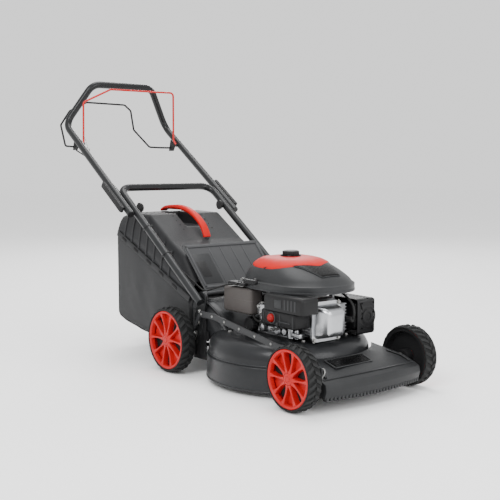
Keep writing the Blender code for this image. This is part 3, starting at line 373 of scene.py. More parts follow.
def turned(profile, at=(0, 0, 0), axis="Z", sides=48, ripple=None):
    """A profile of (radius, height) turned about an axis; ripple may give each point a new radius."""
    rings = []
    for radius, height in profile:
        ring = []
        for i in range(sides):
            angle = 2 * math.pi * i / sides
            r = ripple(angle, radius, height) if ripple and radius else radius
            ring.append((r * math.cos(angle), r * math.sin(angle), height))
        rings.append(ring)
    bm = skin(rings, caps=False)
    if profile[0][0] > 0 and profile[-1][0] > 0:
        bmesh.ops.remove_doubles(bm, verts=bm.verts, dist=1e-7)
    bmesh.ops.remove_doubles(bm, verts=bm.verts, dist=1e-6)
    bmesh.ops.dissolve_degenerate(bm, edges=bm.edges, dist=1e-6)
    bmesh.ops.holes_fill(bm, edges=[e for e in bm.edges if e.is_boundary and profile[0][0] == 0], sides=0)
    bm.transform(Matrix.Translation(at) @ AXES[axis])
    return bm


def ring_of(profile, at=(0, 0, 0), axis="Z", sides=48):
    """A closed profile turned about an axis, as a ring."""
    return turned([*profile, profile[0]], at, axis, sides)


def smooth_line(points, per=8):
    """A smooth curve through the points."""
    route = [Vector(p) for p in points]
    out = []
    for i in range(len(route) - 1):
        p0 = route[max(i - 1, 0)]
        p1, p2 = route[i], route[i + 1]
        p3 = route[min(i + 2, len(route) - 1)]
        for k in range(per):
            t = k / per
            out.append(0.5 * ((2 * p1) + (p2 - p0) * t + (2 * p0 - 5 * p1 + 4 * p2 - p3) * t * t
                              + (3 * p1 - p0 - 3 * p2 + p3) * t ** 3))
    out.append(route[-1])
    return out


def eased(points, radius, steps=10):
    """A route with its corners rounded to a bend radius."""
    route = [Vector(p) for p in points]
    out = [route[0]]
    for before, corner, after in zip(route, route[1:], route[2:]):
        a, b = (before - corner).normalized(), (after - corner).normalized()
        turn = math.pi - a.angle(b)
        reach = min(radius * math.tan(turn / 2), 0.45 * (before - corner).length,
                    0.45 * (after - corner).length)
        first, last = corner + a * reach, corner + b * reach
        for i in range(steps + 1):
            t = i / steps
            out.append(first * (1 - t) ** 2 + corner * 2 * t * (1 - t) + last * t ** 2)
    out.append(route[-1])
    return out


def swept(points, section, widths=None):
    """A section, as (side, up) pairs, carried along a line of points; widths scales it at each point."""
    line = [Vector(p) for p in points]
    up = Vector((0, 0, 1))
    rings = []
    for i, point in enumerate(line):
        along = (line[min(i + 1, len(line) - 1)] - line[max(i - 1, 0)]).normalized()
        if i == 0 and abs(along.dot(up)) > 0.95:
            up = Vector((0, 1, 0))
        side = along.cross(up).normalized()
        up = side.cross(along).normalized()
        size = widths[i] if widths else 1.0
        rings.append([point + side * a * size + up * b * size for a, b in section])
    return skin(rings)


def circle(radius, sides=12):
    """A round section for swept."""
    return [(radius * math.cos(2 * math.pi * i / sides), radius * math.sin(2 * math.pi * i / sides))
            for i in range(sides)]


def rounded(half_a, half_b, corner, steps=6):
    """The points of a rounded rectangle about the origin."""
    points = []
    for quarter, (sa, sb) in enumerate(((1, 1), (-1, 1), (-1, -1), (1, -1))):
        for i in range(steps + 1):
            angle = math.pi / 2 * (quarter + i / steps)
            points.append((sa * (half_a - corner) + corner * math.cos(angle),
                           sb * (half_b - corner) + corner * math.sin(angle)))
    return points


def remake(node, finish, body, bevel=0.0012, angle=28, name=None, segments=2):
    """A CAD node's own shape with clean faces, rounded edges and smooth shading."""
    bm = bmesh.new()
    bm.from_mesh(NODES[node].data)
    bmesh.ops.remove_doubles(bm, verts=bm.verts, dist=1e-5)
    bmesh.ops.dissolve_limit(bm, angle_limit=math.radians(1.0), verts=bm.verts, edges=bm.edges)
    return put(name or node + "_look", bm, finish, body, angle, bevel, (node,), True, segments)


def bolt(at, axis, radius, height, sides=6):
    """A hexagon-headed bolt on its washer, standing along an axis."""
    bm = turned([(0, 0), (radius * 1.5, 0), (radius * 1.5, height * 0.25), (0, height * 0.25)], at, axis,
                20)
    head = turned([(0, height * 0.25), (radius * 1.12, height * 0.25), (radius * 1.12, height * 0.85),
                   (radius * 0.92, height), (0, height)], at, axis, sides)
    return add(bm, head)


def spring(at, axis_to, radius, wire, turns):
    """A coil spring between two points."""
    start, end = Vector(at), Vector(axis_to)
    along = end - start
    side = along.orthogonal().normalized()
    other = along.normalized().cross(side)
    points = []
    count = turns * 12
    for i in range(count + 1):
        angle = 2 * math.pi * turns * i / count
        out = (side * math.cos(angle) + other * math.sin(angle)) * radius
        points.append(start + along * i / count + out)
    return swept(points, circle(wire, 6))


# ---------------------------------------------------------------- wheels
def spoke(angle_in, angle_out, r_in, r_out, low, high, width):
    """One raised spoke, flared where it meets the hub and the rim."""
    rings = []
    for k in range(9):
        t = k / 8
        radius = r_in + (r_out - r_in) * t
        angle = angle_in + (angle_out - angle_in) * t
        half = width * (0.5 + 0.75 * abs(2 * t - 1) ** 3)
        centre = Vector((radius * math.cos(angle), 0, radius * math.sin(angle)))
        across = Vector((-math.sin(angle), 0, math.cos(angle)))
        dip = 0.0025 * math.sin(math.pi * t)
        top = high - dip
        rings.append([centre - across * half * 1.3 + Vector((0, low, 0)),
                      centre - across * half + Vector((0, top - 0.0015, 0)),
                      centre - across * half * 0.6 + Vector((0, top, 0)),
                      centre + across * half * 0.6 + Vector((0, top, 0)),
                      centre + across * half + Vector((0, top - 0.0015, 0)),
                      centre + across * half * 1.3 + Vector((0, low, 0))])
    return skin(rings)


def web(angle_a, angle_b, r_in, r_out, low, high):
    """A sunk panel between two spokes."""
    rows = []
    for level in (low, high):
        for radius in (r_in, r_out):
            rows.append([(radius * math.cos(angle_a + (angle_b - angle_a) * k / 6), level,
                          radius * math.sin(angle_a + (angle_b - angle_a) * k / 6)) for k in range(7)])
    rings = [rows[0], rows[1], rows[3], rows[2], rows[0]]
    bm = skin(rings, closed=False, caps=False)
    bmesh.ops.remove_doubles(bm, verts=bm.verts, dist=1e-6)
    bmesh.ops.holes_fill(bm, edges=[e for e in bm.edges if e.is_boundary], sides=0)
    return bm


def tread_block(radius, angle, span, y_low, y_high, skew, base):
    """A tread lug that crosses half of the tyre at a slant."""
    rings = []
    for y, turn, drop in ((y_low, 0.0, 0.0), ((y_low + y_high) / 2, skew * 0.5, 0.0),
                          (y_high, skew, 0.0035)):
        ring = []
        for a, r in ((-span, base - drop), (-span * 0.8, radius - drop), (span * 0.8, radius - drop),
                     (span, base - drop)):
            theta = angle + a + turn
            ring.append((r * math.cos(theta), y, r * math.sin(theta)))
        rings.append(ring)
    return skin(rings)


def wheel(word, side, geared):
    """A spoked rim, its tyre and hub, in place of the CAD rim and tyre."""
    low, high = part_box(word + "_tyre")
    centre = Vector(((low[0] + high[0]) / 2, side * (abs(low[1]) + abs(high[1])) / 2,
                     (low[2] + high[2]) / 2))
    radius = (high[2] - low[2]) / 2
    half = (high[1] - low[1]) / 2
    rim_r = radius * 0.888
    carry = Matrix.Translation(centre)
    if side < 0:
        carry = carry @ Matrix.Rotation(math.pi, 4, "Z")
    face = half - 0.002

    lip = [(rim_r - 0.0105, face - 0.012), (rim_r - 0.0085, face - 0.002), (rim_r - 0.0060, face + 0.0005),
           (rim_r - 0.0025, face + 0.0012), (rim_r - 0.0004, face - 0.0005),
           (rim_r - 0.0004, -half + 0.003),
           (rim_r - 0.003, -half + 0.003), (rim_r - 0.006, face - 0.018)]
    rim = ring_of(lip, axis="Y", sides=80)
    hub_top = face - 0.001
    hub = turned([(0, hub_top + 0.001), (0.006, hub_top + 0.0008), (0.0075, hub_top - 0.001),
                  (0.0085, hub_top - 0.001),
                  (0.010, hub_top), (0.0155, hub_top - 0.001), (0.018, hub_top - 0.005), (0.0185, -0.004),
                  (0.0175, -half - 0.0065), (0.0065, -half - 0.0065)], axis="Y", sides=40)
    add(rim, hub)
    step = math.radians(72)
    start = math.radians(18 if geared else 52)
    for k in range(5):
        mid = start + k * step
        for sign in (-1, 1):
            add(rim, spoke(mid + sign * 0.26, mid + sign * 0.335, 0.0165, rim_r - 0.0085, 0.000,
                           face - 0.0015,
                           0.0052))
        add(rim, web(mid - 0.30, mid + 0.30, 0.0165, rim_r - 0.008, 0.0015, 0.0042))
    rim.transform(carry)
    put(word + "_rim_spoked", rim, MAT["rim"], word + "_wheel", 32, replaces=(word + "_rim",),
        shifted=True)

    base = radius - 0.0045
    tread = [(rim_r, -half + 0.004), (rim_r + 0.0015, -half + 0.0005), (rim_r + 0.004, -half),
             (radius - 0.0075, -half + 0.0006), (radius - 0.0052, -half + 0.003), (base, -half + 0.007),
             (base + 0.0006, 0), (base, half - 0.007), (radius - 0.0052, half - 0.003),
             (radius - 0.0075, half - 0.0006),
             (rim_r + 0.004, half), (rim_r + 0.0015, half - 0.0005), (rim_r, half - 0.004)]
    tyre = ring_of(tread, axis="Y", sides=84)
    lugs = 26
    for k in range(lugs):
        angle = 2 * math.pi * k / lugs
        add(tyre, tread_block(radius - 0.0003, angle, 0.062, 0.0015, half - 0.0022, 0.14, base - 0.001))
        add(tyre, tread_block(radius - 0.0003, angle + math.pi / lugs, 0.062, -0.0015, -half + 0.0022, 0.14,
                              base - 0.001))
    tyre.transform(carry)
    put(word + "_tyre_lugged", tyre, MAT["tyre"], word + "_wheel", 30, replaces=(word + "_tyre",),
        shifted=True)

    inside = ring_of([(0.019, 0.0008), (rim_r - 0.009, 0.0008), (rim_r - 0.009, -0.0022), (0.019, -0.0022)],
                     axis="Y",
                     sides=48)
    add(inside, ring_of([(rim_r, -half + 0.0020), (rim_r - 0.0075, -half + 0.0020),
                         (rim_r - 0.0118, -0.0030),
                         (rim_r - 0.0085, -0.0030), (rim_r - 0.0045, -half + 0.0032)], axis="Y", sides=64))
    add(inside, ring_of([(0.0067, -half - 0.0067), (0.0188, -half - 0.0067), (0.0195, -0.0030),
                         (0.0186, -0.0030),
                         (0.0177, -half - 0.0062), (0.0067, -half - 0.0062)], axis="Y", sides=32))
    inside.transform(carry)
    put(word + "_dust_disc", inside, MAT["black"], word + "_wheel", 30, shifted=True)


# ---------------------------------------------------------------- grass bag
# stations along the bag: x, the fabric's floor, the rim between fabric and lid, the lid's crest
BAG = ((-0.2615, 0.116, 0.226, 0.276), (-0.330, 0.098, 0.254, 0.357), (-0.400, 0.086, 0.284, 0.392),
       (-0.460, 0.078, 0.309, 0.430), (-0.530, 0.075, 0.338, 0.474), (-0.650, 0.094, 0.388, 0.476),
       (-0.700, 0.110, 0.409, 0.462))
BAG_HALF = 0.168


def bag_at(x):
    """The bag's floor, rim and crest heights at x."""
    for a, b in zip(BAG, BAG[1:]):
        if b[0] <= x <= a[0]:
            t = (x - a[0]) / (b[0] - a[0])
            return [a[k] + (b[k] - a[k]) * t for k in (1, 2, 3)]
    return list(BAG[-1][1:])


def fabric_bag():
    """The woven bag: slack sides with soft folds, open at its mouth."""
    rings = []
    xs = [BAG[0][0] + (BAG[-1][0] - BAG[0][0]) * i / 46 for i in range(47)]
    for x in xs:
        floor, rim, _ = bag_at(x)
        ring = []
        outline = rounded(BAG_HALF, (rim - floor) / 2, 0.022, 5)
        dense = []
        for a, b in zip(outline, outline[1:] + outline[:1]):
            count = max(1, int(Vector((b[0] - a[0], b[1] - a[1])).length / 0.012))
            count = 14 if Vector((b[0] - a[0], b[1] - a[1])).length > 0.05 else count
            dense += [(a[0] + (b[0] - a[0]) * k / count, a[1] + (b[1] - a[1]) * k / count)
                      for k in range(count)]
        for y, z in dense:
            height = (floor + rim) / 2 + z
            level = (height - floor) / max(rim - floor, 1e-3)
            inner = math.sin(math.pi * min(1, max(0, (x - BAG[-1][0]) / 0.44)))
            side = 1 if y > 0 else -1
            puff = 0.0
            if abs(y) > BAG_HALF * 0.9:
                fold = noise.noise(Vector((x * 9, side * 3.1, height * 4)))
                crease = noise.noise(Vector((x * 22 + height * 12, side * 1.7, height * 9)))
                puff = 0.004 * math.sin(math.pi * level) + 0.005 * fold + 0.0022 * crease
                puff = puff * inner * min(1, 4 * level)
                puff *= min(1, 3.0 * (1 - level))
            sag = 0.0
            if level < 0.25:
                sag = -0.003 * inner * (1 - (y / BAG_HALF) ** 2) + 0.002 * noise.noise(Vector((x * 14,
                                                                                               y * 14, 2)))
            ring.append((x, y + side * puff, height + sag * 0.5))
        rings.append(ring)
    count = min(len(ring) for ring in rings)
    rings = [ring[:count] for ring in rings]
    bm = skin(rings, caps=False)
    edges = [e for e in bm.edges if e.is_boundary and all(abs(v.co.x - xs[-1]) < 1e-6 for v in e.verts)]
    bmesh.ops.holes_fill(bm, edges=edges, sides=0)
    top = [f for f in bm.faces
           if min(v.co.z - bag_at(v.co.x)[1] for v in f.verts) > -0.004 and abs(f.normal.z) > 0.7]
    bmesh.ops.delete(bm, geom=top, context="FACES")
    bag = put("bag_fabric_body", bm, MAT["fabric"], "bag", 60, replaces=("bag_body",))
    wall = bag.modifiers.new("wall", "SOLIDIFY")
    wall.thickness = 0.0022
    wall.offset = -1.0


def bag_seams():
    """Bound edges, the rear panel's piping and the stitched seam round the fabric."""
    bm = bmesh.new()
    for side in (-1, 1):
        y = side * (BAG_HALF - 0.0005)
        lower = [(x, y * 0.985, bag_at(x)[0] + 0.010) for x in (-0.275, -0.33, -0.40, -0.46, -0.53, -0.59,
                                                                -0.65, -0.694)]
        add(bm, swept(smooth_line(lower, 6), circle(0.0022, 8)))
        upright = [(-0.6985, y * 0.985, z) for z in (0.125, 0.20, 0.28, 0.35, 0.400)]
        add(bm, swept(smooth_line(upright, 5), circle(0.0022, 8)))
    cross = [(-0.699, y, 0.1125) for y in (-0.155, -0.08, 0, 0.08, 0.155)]
    add(bm, swept(smooth_line(cross, 5), circle(0.0022, 8)))
    put("bag_piping", bm, MAT["webbing"], "bag", 60)
    stitches = bmesh.new()
    for side in (-1, 1):
        for i in range(58):
            x = -0.290 - 0.0068 * i
            floor = bag_at(x)[0]
            z = floor + 0.0225
            y = side * (BAG_HALF + 0.0009)
            add(stitches, block((x - 0.0018, min(y, y - side * 0.001), z - 0.0004),
                                (x + 0.0018, max(y, y - side * 0.001), z + 0.0004)))
    put("bag_stitches", stitches, MAT["rubber"], "bag")


def lid_height(x, share):
    """The lid's surface across the bag: share is 0 at the middle and 1 at the side."""
    _, rim, crest = bag_at(x)
    fall = 1 - max(0.0, (abs(share) - 0.80) / 0.20) ** 2.4
    crown = 1 - 0.02 * share * share
    return rim + (crest - rim) * max(0.0, fall) * crown


RECESS = (-0.632, -0.462, 0.036, 0.432)


def bag_lid():
    """The moulded lid with the sunk pocket under its carrying handle."""
    bm = bmesh.new()
    columns = 97
    rows = 61
    grid = []
    for i in range(columns):
        x = -0.262 + (-0.6995 + 0.262) * i / (columns - 1)
        line = []
        for j in range(rows):
            share = -1 + 2 * j / (rows - 1)
            share = math.copysign(abs(share) ** 0.8, share)
            z = lid_height(x, share)
            y = share * BAG_HALF
            x0, x1, half, floor = RECESS
            inside_x = min((x - x0) / 0.010, (x1 - x) / 0.010)
            inside_y = (half - abs(y)) / 0.008
            depth = max(0.0, min(1.0, inside_x + 0.5, inside_y + 0.5))
            depth = depth * depth * (3 - 2 * depth)
            if z > floor:
                z -= (z - floor) * depth
            ledge = max(0.0, min(1.0, (abs(share) - 0.87) / 0.02))
            line.append(bm.verts.new((x, y, z - 0.0015 * ledge)))
        grid.append(line)
    for a, b in zip(grid, grid[1:]):
        for j in range(rows - 1):
            bm.faces.new((a[j], a[j + 1], b[j + 1], b[j]))
    back = grid[-1]
    low = [bm.verts.new((-0.6995, vert.co.y, bag_at(-0.6995)[1])) for vert in back]
    for j in range(rows - 1):
        if (back[j].co - low[j].co).length > 1e-5 or (back[j + 1].co - low[j + 1].co).length > 1e-5:
            bm.faces.new((back[j], back[j + 1], low[j + 1], low[j]))
    lid = put("bag_lid_moulded", bm, MAT["lid"], "bag", 40, replaces=("bag_lid",))
    wall = lid.modifiers.new("wall", "SOLIDIFY")
    wall.thickness = 0.0025
    wall.offset = -1.0


def bag_trim():
    """The rim flange with black pieces painted as the shade in its slots, the side ribs, and black dots
    painted as the shade in the row of vent holes.
    """
    flange = bmesh.new()
    for side in (-1, 1):
        points = []
        for i in range(30):
            x = -0.264 - 0.0149 * i
            points.append((x, side * (BAG_HALF + 0.0008), bag_at(x)[1] - 0.004))
        add(flange, swept(points, rounded(0.0026, 0.010, 0.0022, 3)))
    rear = [(-0.7005, y, bag_at(-0.70)[1] - 0.004) for y in (-0.165, -0.08, 0, 0.08, 0.165)]
    add(flange, swept(rear, rounded(0.0015, 0.010, 0.0012, 3)))
    put("bag_rim_flange", flange, MAT["lid"], "bag", 40)
    # Painted shade: black pieces on the flange stand in for the shade inside its slots.
    slot_shade = bmesh.new()
    for side in (-1, 1):
        for x in (-0.650, -0.577, -0.497, -0.422, -0.345):
            z = bag_at(x)[1] - 0.005
            y = side * (BAG_HALF + 0.0036)
            line = [Vector((x - 0.012, y, z + 0.0052)), Vector((x + 0.012, y, z - 0.0052))]
            add(slot_shade, swept(line, rounded(0.0010, 0.0058, 0.0009, 3)))
    put("bag_flange_slot_shade", slot_shade, MAT["gloss"], "bag", 40)
    ribs = bmesh.new()
    for side in (-1, 1):
        for k in range(7):
            x = -0.655 + 0.045 * k
            _, rim, crest = bag_at(x)
            points = []
            for i in range(9):
                share = 0.995 - 0.10 * i / 8
                z = lid_height(x, share)
                points.append((x, side * (share * BAG_HALF + 0.0004), z + 0.0003))
            add(ribs, swept(points, rounded(0.0045, 0.0012, 0.001, 2)))
    put("bag_lid_ribs", ribs, MAT["lid"], "bag", 40)
    # Painted shade: black dots on the lid stand in for the shade inside the vent holes.
    holes = bmesh.new()
    for side in (-1, 1):
        for k in range(9):
            x = -0.630 + 0.022 * k
            y = side * 0.058
            z = lid_height(x, 0.345) - 0.0009
            add(holes, turned([(0, 0.0013), (0.0027, 0.0013), (0.0032, 0.0), (0, 0.0)], (x, y, z), "Z", 12))
    put("bag_vent_hole_shade", holes, MAT["gloss"], "bag", 40)


def bag_handle():
    """The arched carrying handle, thick in its middle and flat at its feet."""
    line = smooth_line([(-0.664, 0, 0.4805), (-0.640, 0, 0.490), (-0.600, 0, 0.4935), (-0.560, 0, 0.4935),
                        (-0.515, 0, 0.4865), (-0.470, 0, 0.4690), (-0.430, 0, 0.4410), (-0.410, 0, 0.4150),
                        (-0.4035, 0, 0.4000)], 6)
    rings = []
    last = len(line) - 1
    for i, point in enumerate(line):
        t = i / last
        along = (line[min(i + 1, last)] - line[max(i - 1, 0)]).normalized()
        side = Vector((0, 1, 0))
        up = along.cross(side).normalized()
        if up.z < 0:
            up = -up
        grip = math.sin(math.pi * min(1, max(0, t * 1.15 - 0.05)))
        wide = 0.0125 + 0.0015 * (1 - grip)
        thick = 0.0045 + 0.0032 * grip
        rings.append([point + side * a + up * b for a, b in rounded(wide, thick, thick * 0.9, 4)])
    put("bag_handle_moulded", skin(rings), MAT["red"], "bag", 50, replaces=("bag_handle",))
    grooves = bmesh.new()
    for k in range(8):
        x = -0.615 + 0.015 * k
        z = 0.4935 - (0.0 if x < -0.55 else (x + 0.55) * 0.18)
        add(grooves, block((x - 0.0010, -0.0095, z - 0.0092), (x + 0.0010, 0.0095, z - 0.0072), 0.0006))
    put("bag_handle_grip_ribs", grooves, MAT["red"], "bag")


# ---------------------------------------------------------------- engine
COVER_LEVELS = ((0.282, -0.104, 0.222, 0.130), (0.2865, -0.106, 0.224, 0.132),
                (0.303, -0.106, 0.225, 0.1318),
                (0.3065, -0.101, 0.219, 0.1265), (0.316, -0.0995, 0.2085, 0.1235),
                (0.326, -0.096, 0.192, 0.1180),
                (0.336, -0.0915, 0.173, 0.1105), (0.346, -0.083, 0.152, 0.1005),
                (0.355, -0.072, 0.130, 0.0885),
                (0.3615, -0.062, 0.110, 0.0760), (0.365, -0.050, 0.088, 0.060))


def cover_ring(level, rear, front, side, nose=0.55, steps=72):
    """A level shield shape: square shoulders at the rear and a blunt point in front."""
    middle_x, half_x = (rear + front) / 2, (front - rear) / 2
    ring = []
    for i in range(steps):
        angle = 2 * math.pi * i / steps
        c, s = math.cos(angle), math.sin(angle)
        x = math.copysign(abs(c) ** 0.62, c)
        y = math.copysign(abs(s) ** 0.62, s)
        taper = 1 - (1 - nose) * max(0.0, x) ** 3.2
        ring.append((middle_x + half_x * x, side * y * taper, level))
    return ring


def engine_cover():
    """The blower cover with its brim, shoulder and sloping crown."""
    rings = [cover_ring(*level, nose=0.74 - 0.10 * k / 10) for k, level in enumerate(COVER_LEVELS)]
    bm = skin(rings, caps=False)
    CROWN.append(BVHTree.FromBMesh(skin(rings)))
    edges = [e for e in bm.edges if e.is_boundary and all(v.co.z > 0.364 for v in e.verts)]
    bmesh.ops.holes_fill(bm, edges=edges, sides=0)
    cover = put("blower_cover_moulded", bm, MAT["cover"], "mower", 34,
                replaces=("engine_cover",))
    wall = cover.modifiers.new("wall", "SOLIDIFY")
    wall.thickness = 0.003
    wall.offset = -1.0

    brim = [cover_ring(z, -0.1065 - o, 0.2245 + o, 0.1318 + o, 0.74) for z, o in
            ((0.2822, -0.003), (0.2822, 0.0002), (0.2862, 0.0010), (0.2888, 0.0002), (0.2888, -0.003))]
    put("blower_cover_brim", skin(brim, caps=False), MAT["cover"], "mower", 50)
    # Painted shade: black blocks on the cover's sides stand in for the shade inside its louvres.
    louvre_shade = bmesh.new()
    for k in range(6):
        x = -0.068 + 0.0125 * k
        add(louvre_shade, block((x, -0.1318, 0.2925), (x + 0.007, -0.1290, 0.2990), 0.0006))
        add(louvre_shade, block((x, 0.1290, 0.2925), (x + 0.007, 0.1318, 0.2990), 0.0006))
    put("blower_cover_louvre_shade", louvre_shade, MAT["gloss"], "mower")
    screws = bmesh.new()
    for x, y in ((-0.086, 0.098), (-0.086, -0.098), (0.178, 0.088), (0.178, -0.088)):
        add(screws, bolt((x, y, 0.2935 + 0.004), "Z", 0.0048, 0.006))
    put("blower_cover_screws", screws, MAT["zinc"], "mower", 30)


CROWN = []


def crown_at(x, y):
    """The height of the cover's crown over a place."""
    hit = CROWN[0].ray_cast(Vector((x, y, 1.0)), Vector((0, 0, -1)))[0]
    return hit.z if hit else 0.300


def insert_edge(angle):
    """The red insert's outline in plan: broad at the rear, narrowing to a blunt point in front."""
    c, s = math.cos(angle), math.sin(angle)
    x = math.copysign(abs(c) ** 0.72, c)
    y = math.copysign(abs(s) ** 0.72, s)
    taper = 1 - 0.70 * max(0.0, x) ** 3.6
    return 0.026 + (0.116 if x > 0 else 0.110) * x, 0.104 * y * taper


def cover_insert():
    """The crowned red insert that lies over the top of the cover, round the filler."""
    rings = []
    for part, lift in ((1.0, -0.0060), (1.0, 0.0012), (0.985, 0.0032), (0.955, 0.0044), (0.88, 0.0052),
                       (0.76, 0.0058),
                       (0.60, 0.0064), (0.42, 0.0070), (0.24, 0.0074), (0.10, 0.0076)):
        ring = []
        for i in range(88):
            x, y = insert_edge(2 * math.pi * i / 88)
            x, y = 0.026 + (x - 0.026) * part, y * part
            ring.append((x, y, crown_at(x, y) + lift))
        rings.append(ring)
    put("cover_insert_crowned", skin(rings), MAT["red"], "mower", 50,
        replaces=("cover_insert",))
    collar = ring_of([(0.0262, 0.3695), (0.0262, 0.3762), (0.0295, 0.3762), (0.0315, 0.3728),
                      (0.0315, 0.3695)],
                     (0.018, 0, 0), "Z", 56)
    put("filler_collar", collar, MAT["gloss"], "mower", 40)


PANEL_REAR = (0.020, 0.1060)
PANEL_FRONT = (0.190, 0.034)


def panel_half(x):
    """Half the front panel's width at x."""
    t = (x - PANEL_REAR[0]) / (PANEL_FRONT[0] - PANEL_REAR[0])
    return PANEL_REAR[1] + (PANEL_FRONT[1] - PANEL_REAR[1]) * t


def front_panel():
    """The glossy black trapezoid under the insert's point, blank."""
    bm = bmesh.new()
    rows = []
    xs = [PANEL_REAR[0] + (PANEL_FRONT[0] - PANEL_REAR[0]) * k / 20 for k in range(21)]
    for x in xs:
        half = panel_half(x)
        ys = [half * (j / 8 - 1) for j in range(17)]
        rows.append([bm.verts.new((x, y, crown_at(x, y) + 0.0018)) for y in ys])
    for a, b in zip(rows, rows[1:]):
        for j in range(16):
            bm.faces.new((a[j], b[j], b[j + 1], a[j + 1]))
    panel = put("front_slope_panel", bm, MAT["gloss"], "mower", 50)
    wall = panel.modifiers.new("wall", "SOLIDIFY")
    wall.thickness = 0.0026
    wall.offset = -0.2
    trim = bmesh.new()
    for side in (-1, 1):
        line = [(x, side * panel_half(x), crown_at(x, side * panel_half(x)) + 0.0018) for x in xs]
        add(trim, swept(line, circle(0.0012, 8)))
    front = PANEL_FRONT[0]
    ys = [PANEL_FRONT[1] * (j / 4 - 1) for j in range(9)]
    add(trim, swept([(front, y, crown_at(front, y) + 0.0018) for y in ys], circle(0.0012, 8)))
    put("front_slope_panel_trim", trim, MAT["cover"], "mower", 60)


def caps_and_knobs():
    """The filler cap, the oil cap and the primer."""
    def lobes(angle, radius, height):
        if radius > 0.0205 and height < 0.3865:
            return radius * (1 + 0.018 * math.cos(22 * angle))
        return radius

    cap = turned([(0, 0.3757), (0.0230, 0.3757), (0.0246, 0.3772), (0.0248, 0.3855), (0.0236, 0.3870),
                  (0.0205, 0.3882), (0.0150, 0.3886), (0, 0.3886)], (0.018, 0, 0), "Z", 176, lobes)
    put("fuel_cap_moulded", cap, MAT["black"], "fuel_cap", 40, replaces=("fuel_cap",))

    def knurl(angle, radius, height):
        return radius * (1 + 0.03 * math.cos(14 * angle)) if radius > 0.0195 else radius

    cap = turned([(0, -0.0853), (0.0140, -0.0853), (0.0140, -0.0950), (0.0205, -0.0960), (0.0220, -0.0980),
                  (0.0218, -0.1130), (0.0200, -0.1160), (0.0150, -0.1175), (0.0135, -0.1160), (0, -0.1160)],
                 (-0.036, 0, 0.1725), "Y", 140, knurl)
    put("oil_cap_knurled", cap, MAT["black"], "oil_cap", 40, replaces=("oil_cap",))
    bulb = turned([(0, -0.1442), (0.0124, -0.1442), (0.0124, -0.1485), (0.0118, -0.1515), (0.0103, -0.1540),
                   (0.0080, -0.1560), (0.0050, -0.1573), (0, -0.1578)], (0.103, 0, 0.214), "Y", 48)
    put("primer_bulb_domed", bulb, MAT["bulb"], "primer", 60, replaces=("primer_bulb",))
    surround = ring_of([(0.0138, -0.1462), (0.0138, -0.1478), (0.0155, -0.1484), (0.0172, -0.1475),
                        (0.0172, -0.1462)],
                       (0.103, 0, 0.214), "Y", 56)
    put("primer_surround", surround, MAT["light"], "mower", 40)


def filter_housing():
    """The air filter's base and its rounded cover with a lighter ridge and clips."""
    remake("air_filter_base", MAT["black"], "mower", 0.0025,
           name="air_filter_base_moulded")
    bm = block((0.068, -0.150, 0.2362), (0.236, -0.0855, 0.2811), 0.0)
    vertical = [e for e in bm.edges if abs(e.verts[0].co.z - e.verts[1].co.z) > 0.01]
    bmesh.ops.bevel(bm, geom=vertical, offset=0.012, segments=5, affect="EDGES", profile=0.5)
    top = [e for e in bm.edges if all(v.co.z > 0.28 for v in e.verts) and not e.is_boundary
           and len(e.link_faces) == 2 and abs(e.link_faces[0].normal.dot(e.link_faces[1].normal)) < 0.5]
    bmesh.ops.bevel(bm, geom=top, offset=0.010, segments=5, affect="EDGES", profile=0.5)
    put("air_filter_cover_moulded", bm, MAT["black"], "filter_cover", 40,
        replaces=("air_filter_cover",))
    ridge = bmesh.new()
    line = [(0.078, -0.128, 0.2809), (0.110, -0.131, 0.2811), (0.150, -0.133, 0.2811),
            (0.190, -0.133, 0.2809),
            (0.222, -0.131, 0.2800)]
    add(ridge, swept(smooth_line(line, 6), rounded(0.005, 0.0008, 0.0007, 3)))
    add(ridge, block((0.120, -0.1512, 0.245), (0.150, -0.1492, 0.268), 0.0008))
    for k in range(4):
        add(ridge, block((0.160 + 0.014 * k, -0.1508, 0.243), (0.167 + 0.014 * k, -0.1494, 0.272), 0.0006))
    put("air_filter_cover_ridges", ridge, MAT["cover"], "filter_cover", 50)
    details = bmesh.new()
    for x in (0.069, 0.138, 0.190):
        add(details, block((x, -0.1472, 0.196), (x + 0.0035, -0.1456, 0.228), 0.0006))
    add(details, block((0.134, -0.1476, 0.205), (0.182, -0.1458, 0.209), 0.0006))
    add(details, bolt((0.128, -0.1458, 0.199), "Y", -0.0035, -0.004))
    put("air_filter_base_ribs", details, MAT["cover"], "mower", 40)
    foam = bmesh.new()
    bm = block((0.080, -0.141, 0.2362), (0.190, -0.094, 0.268), 0.004)
    add(foam, bm)
    put("filter_foam_block", foam, MAT["foam"], "mower", 60,
        replaces=("air_filter_element",))


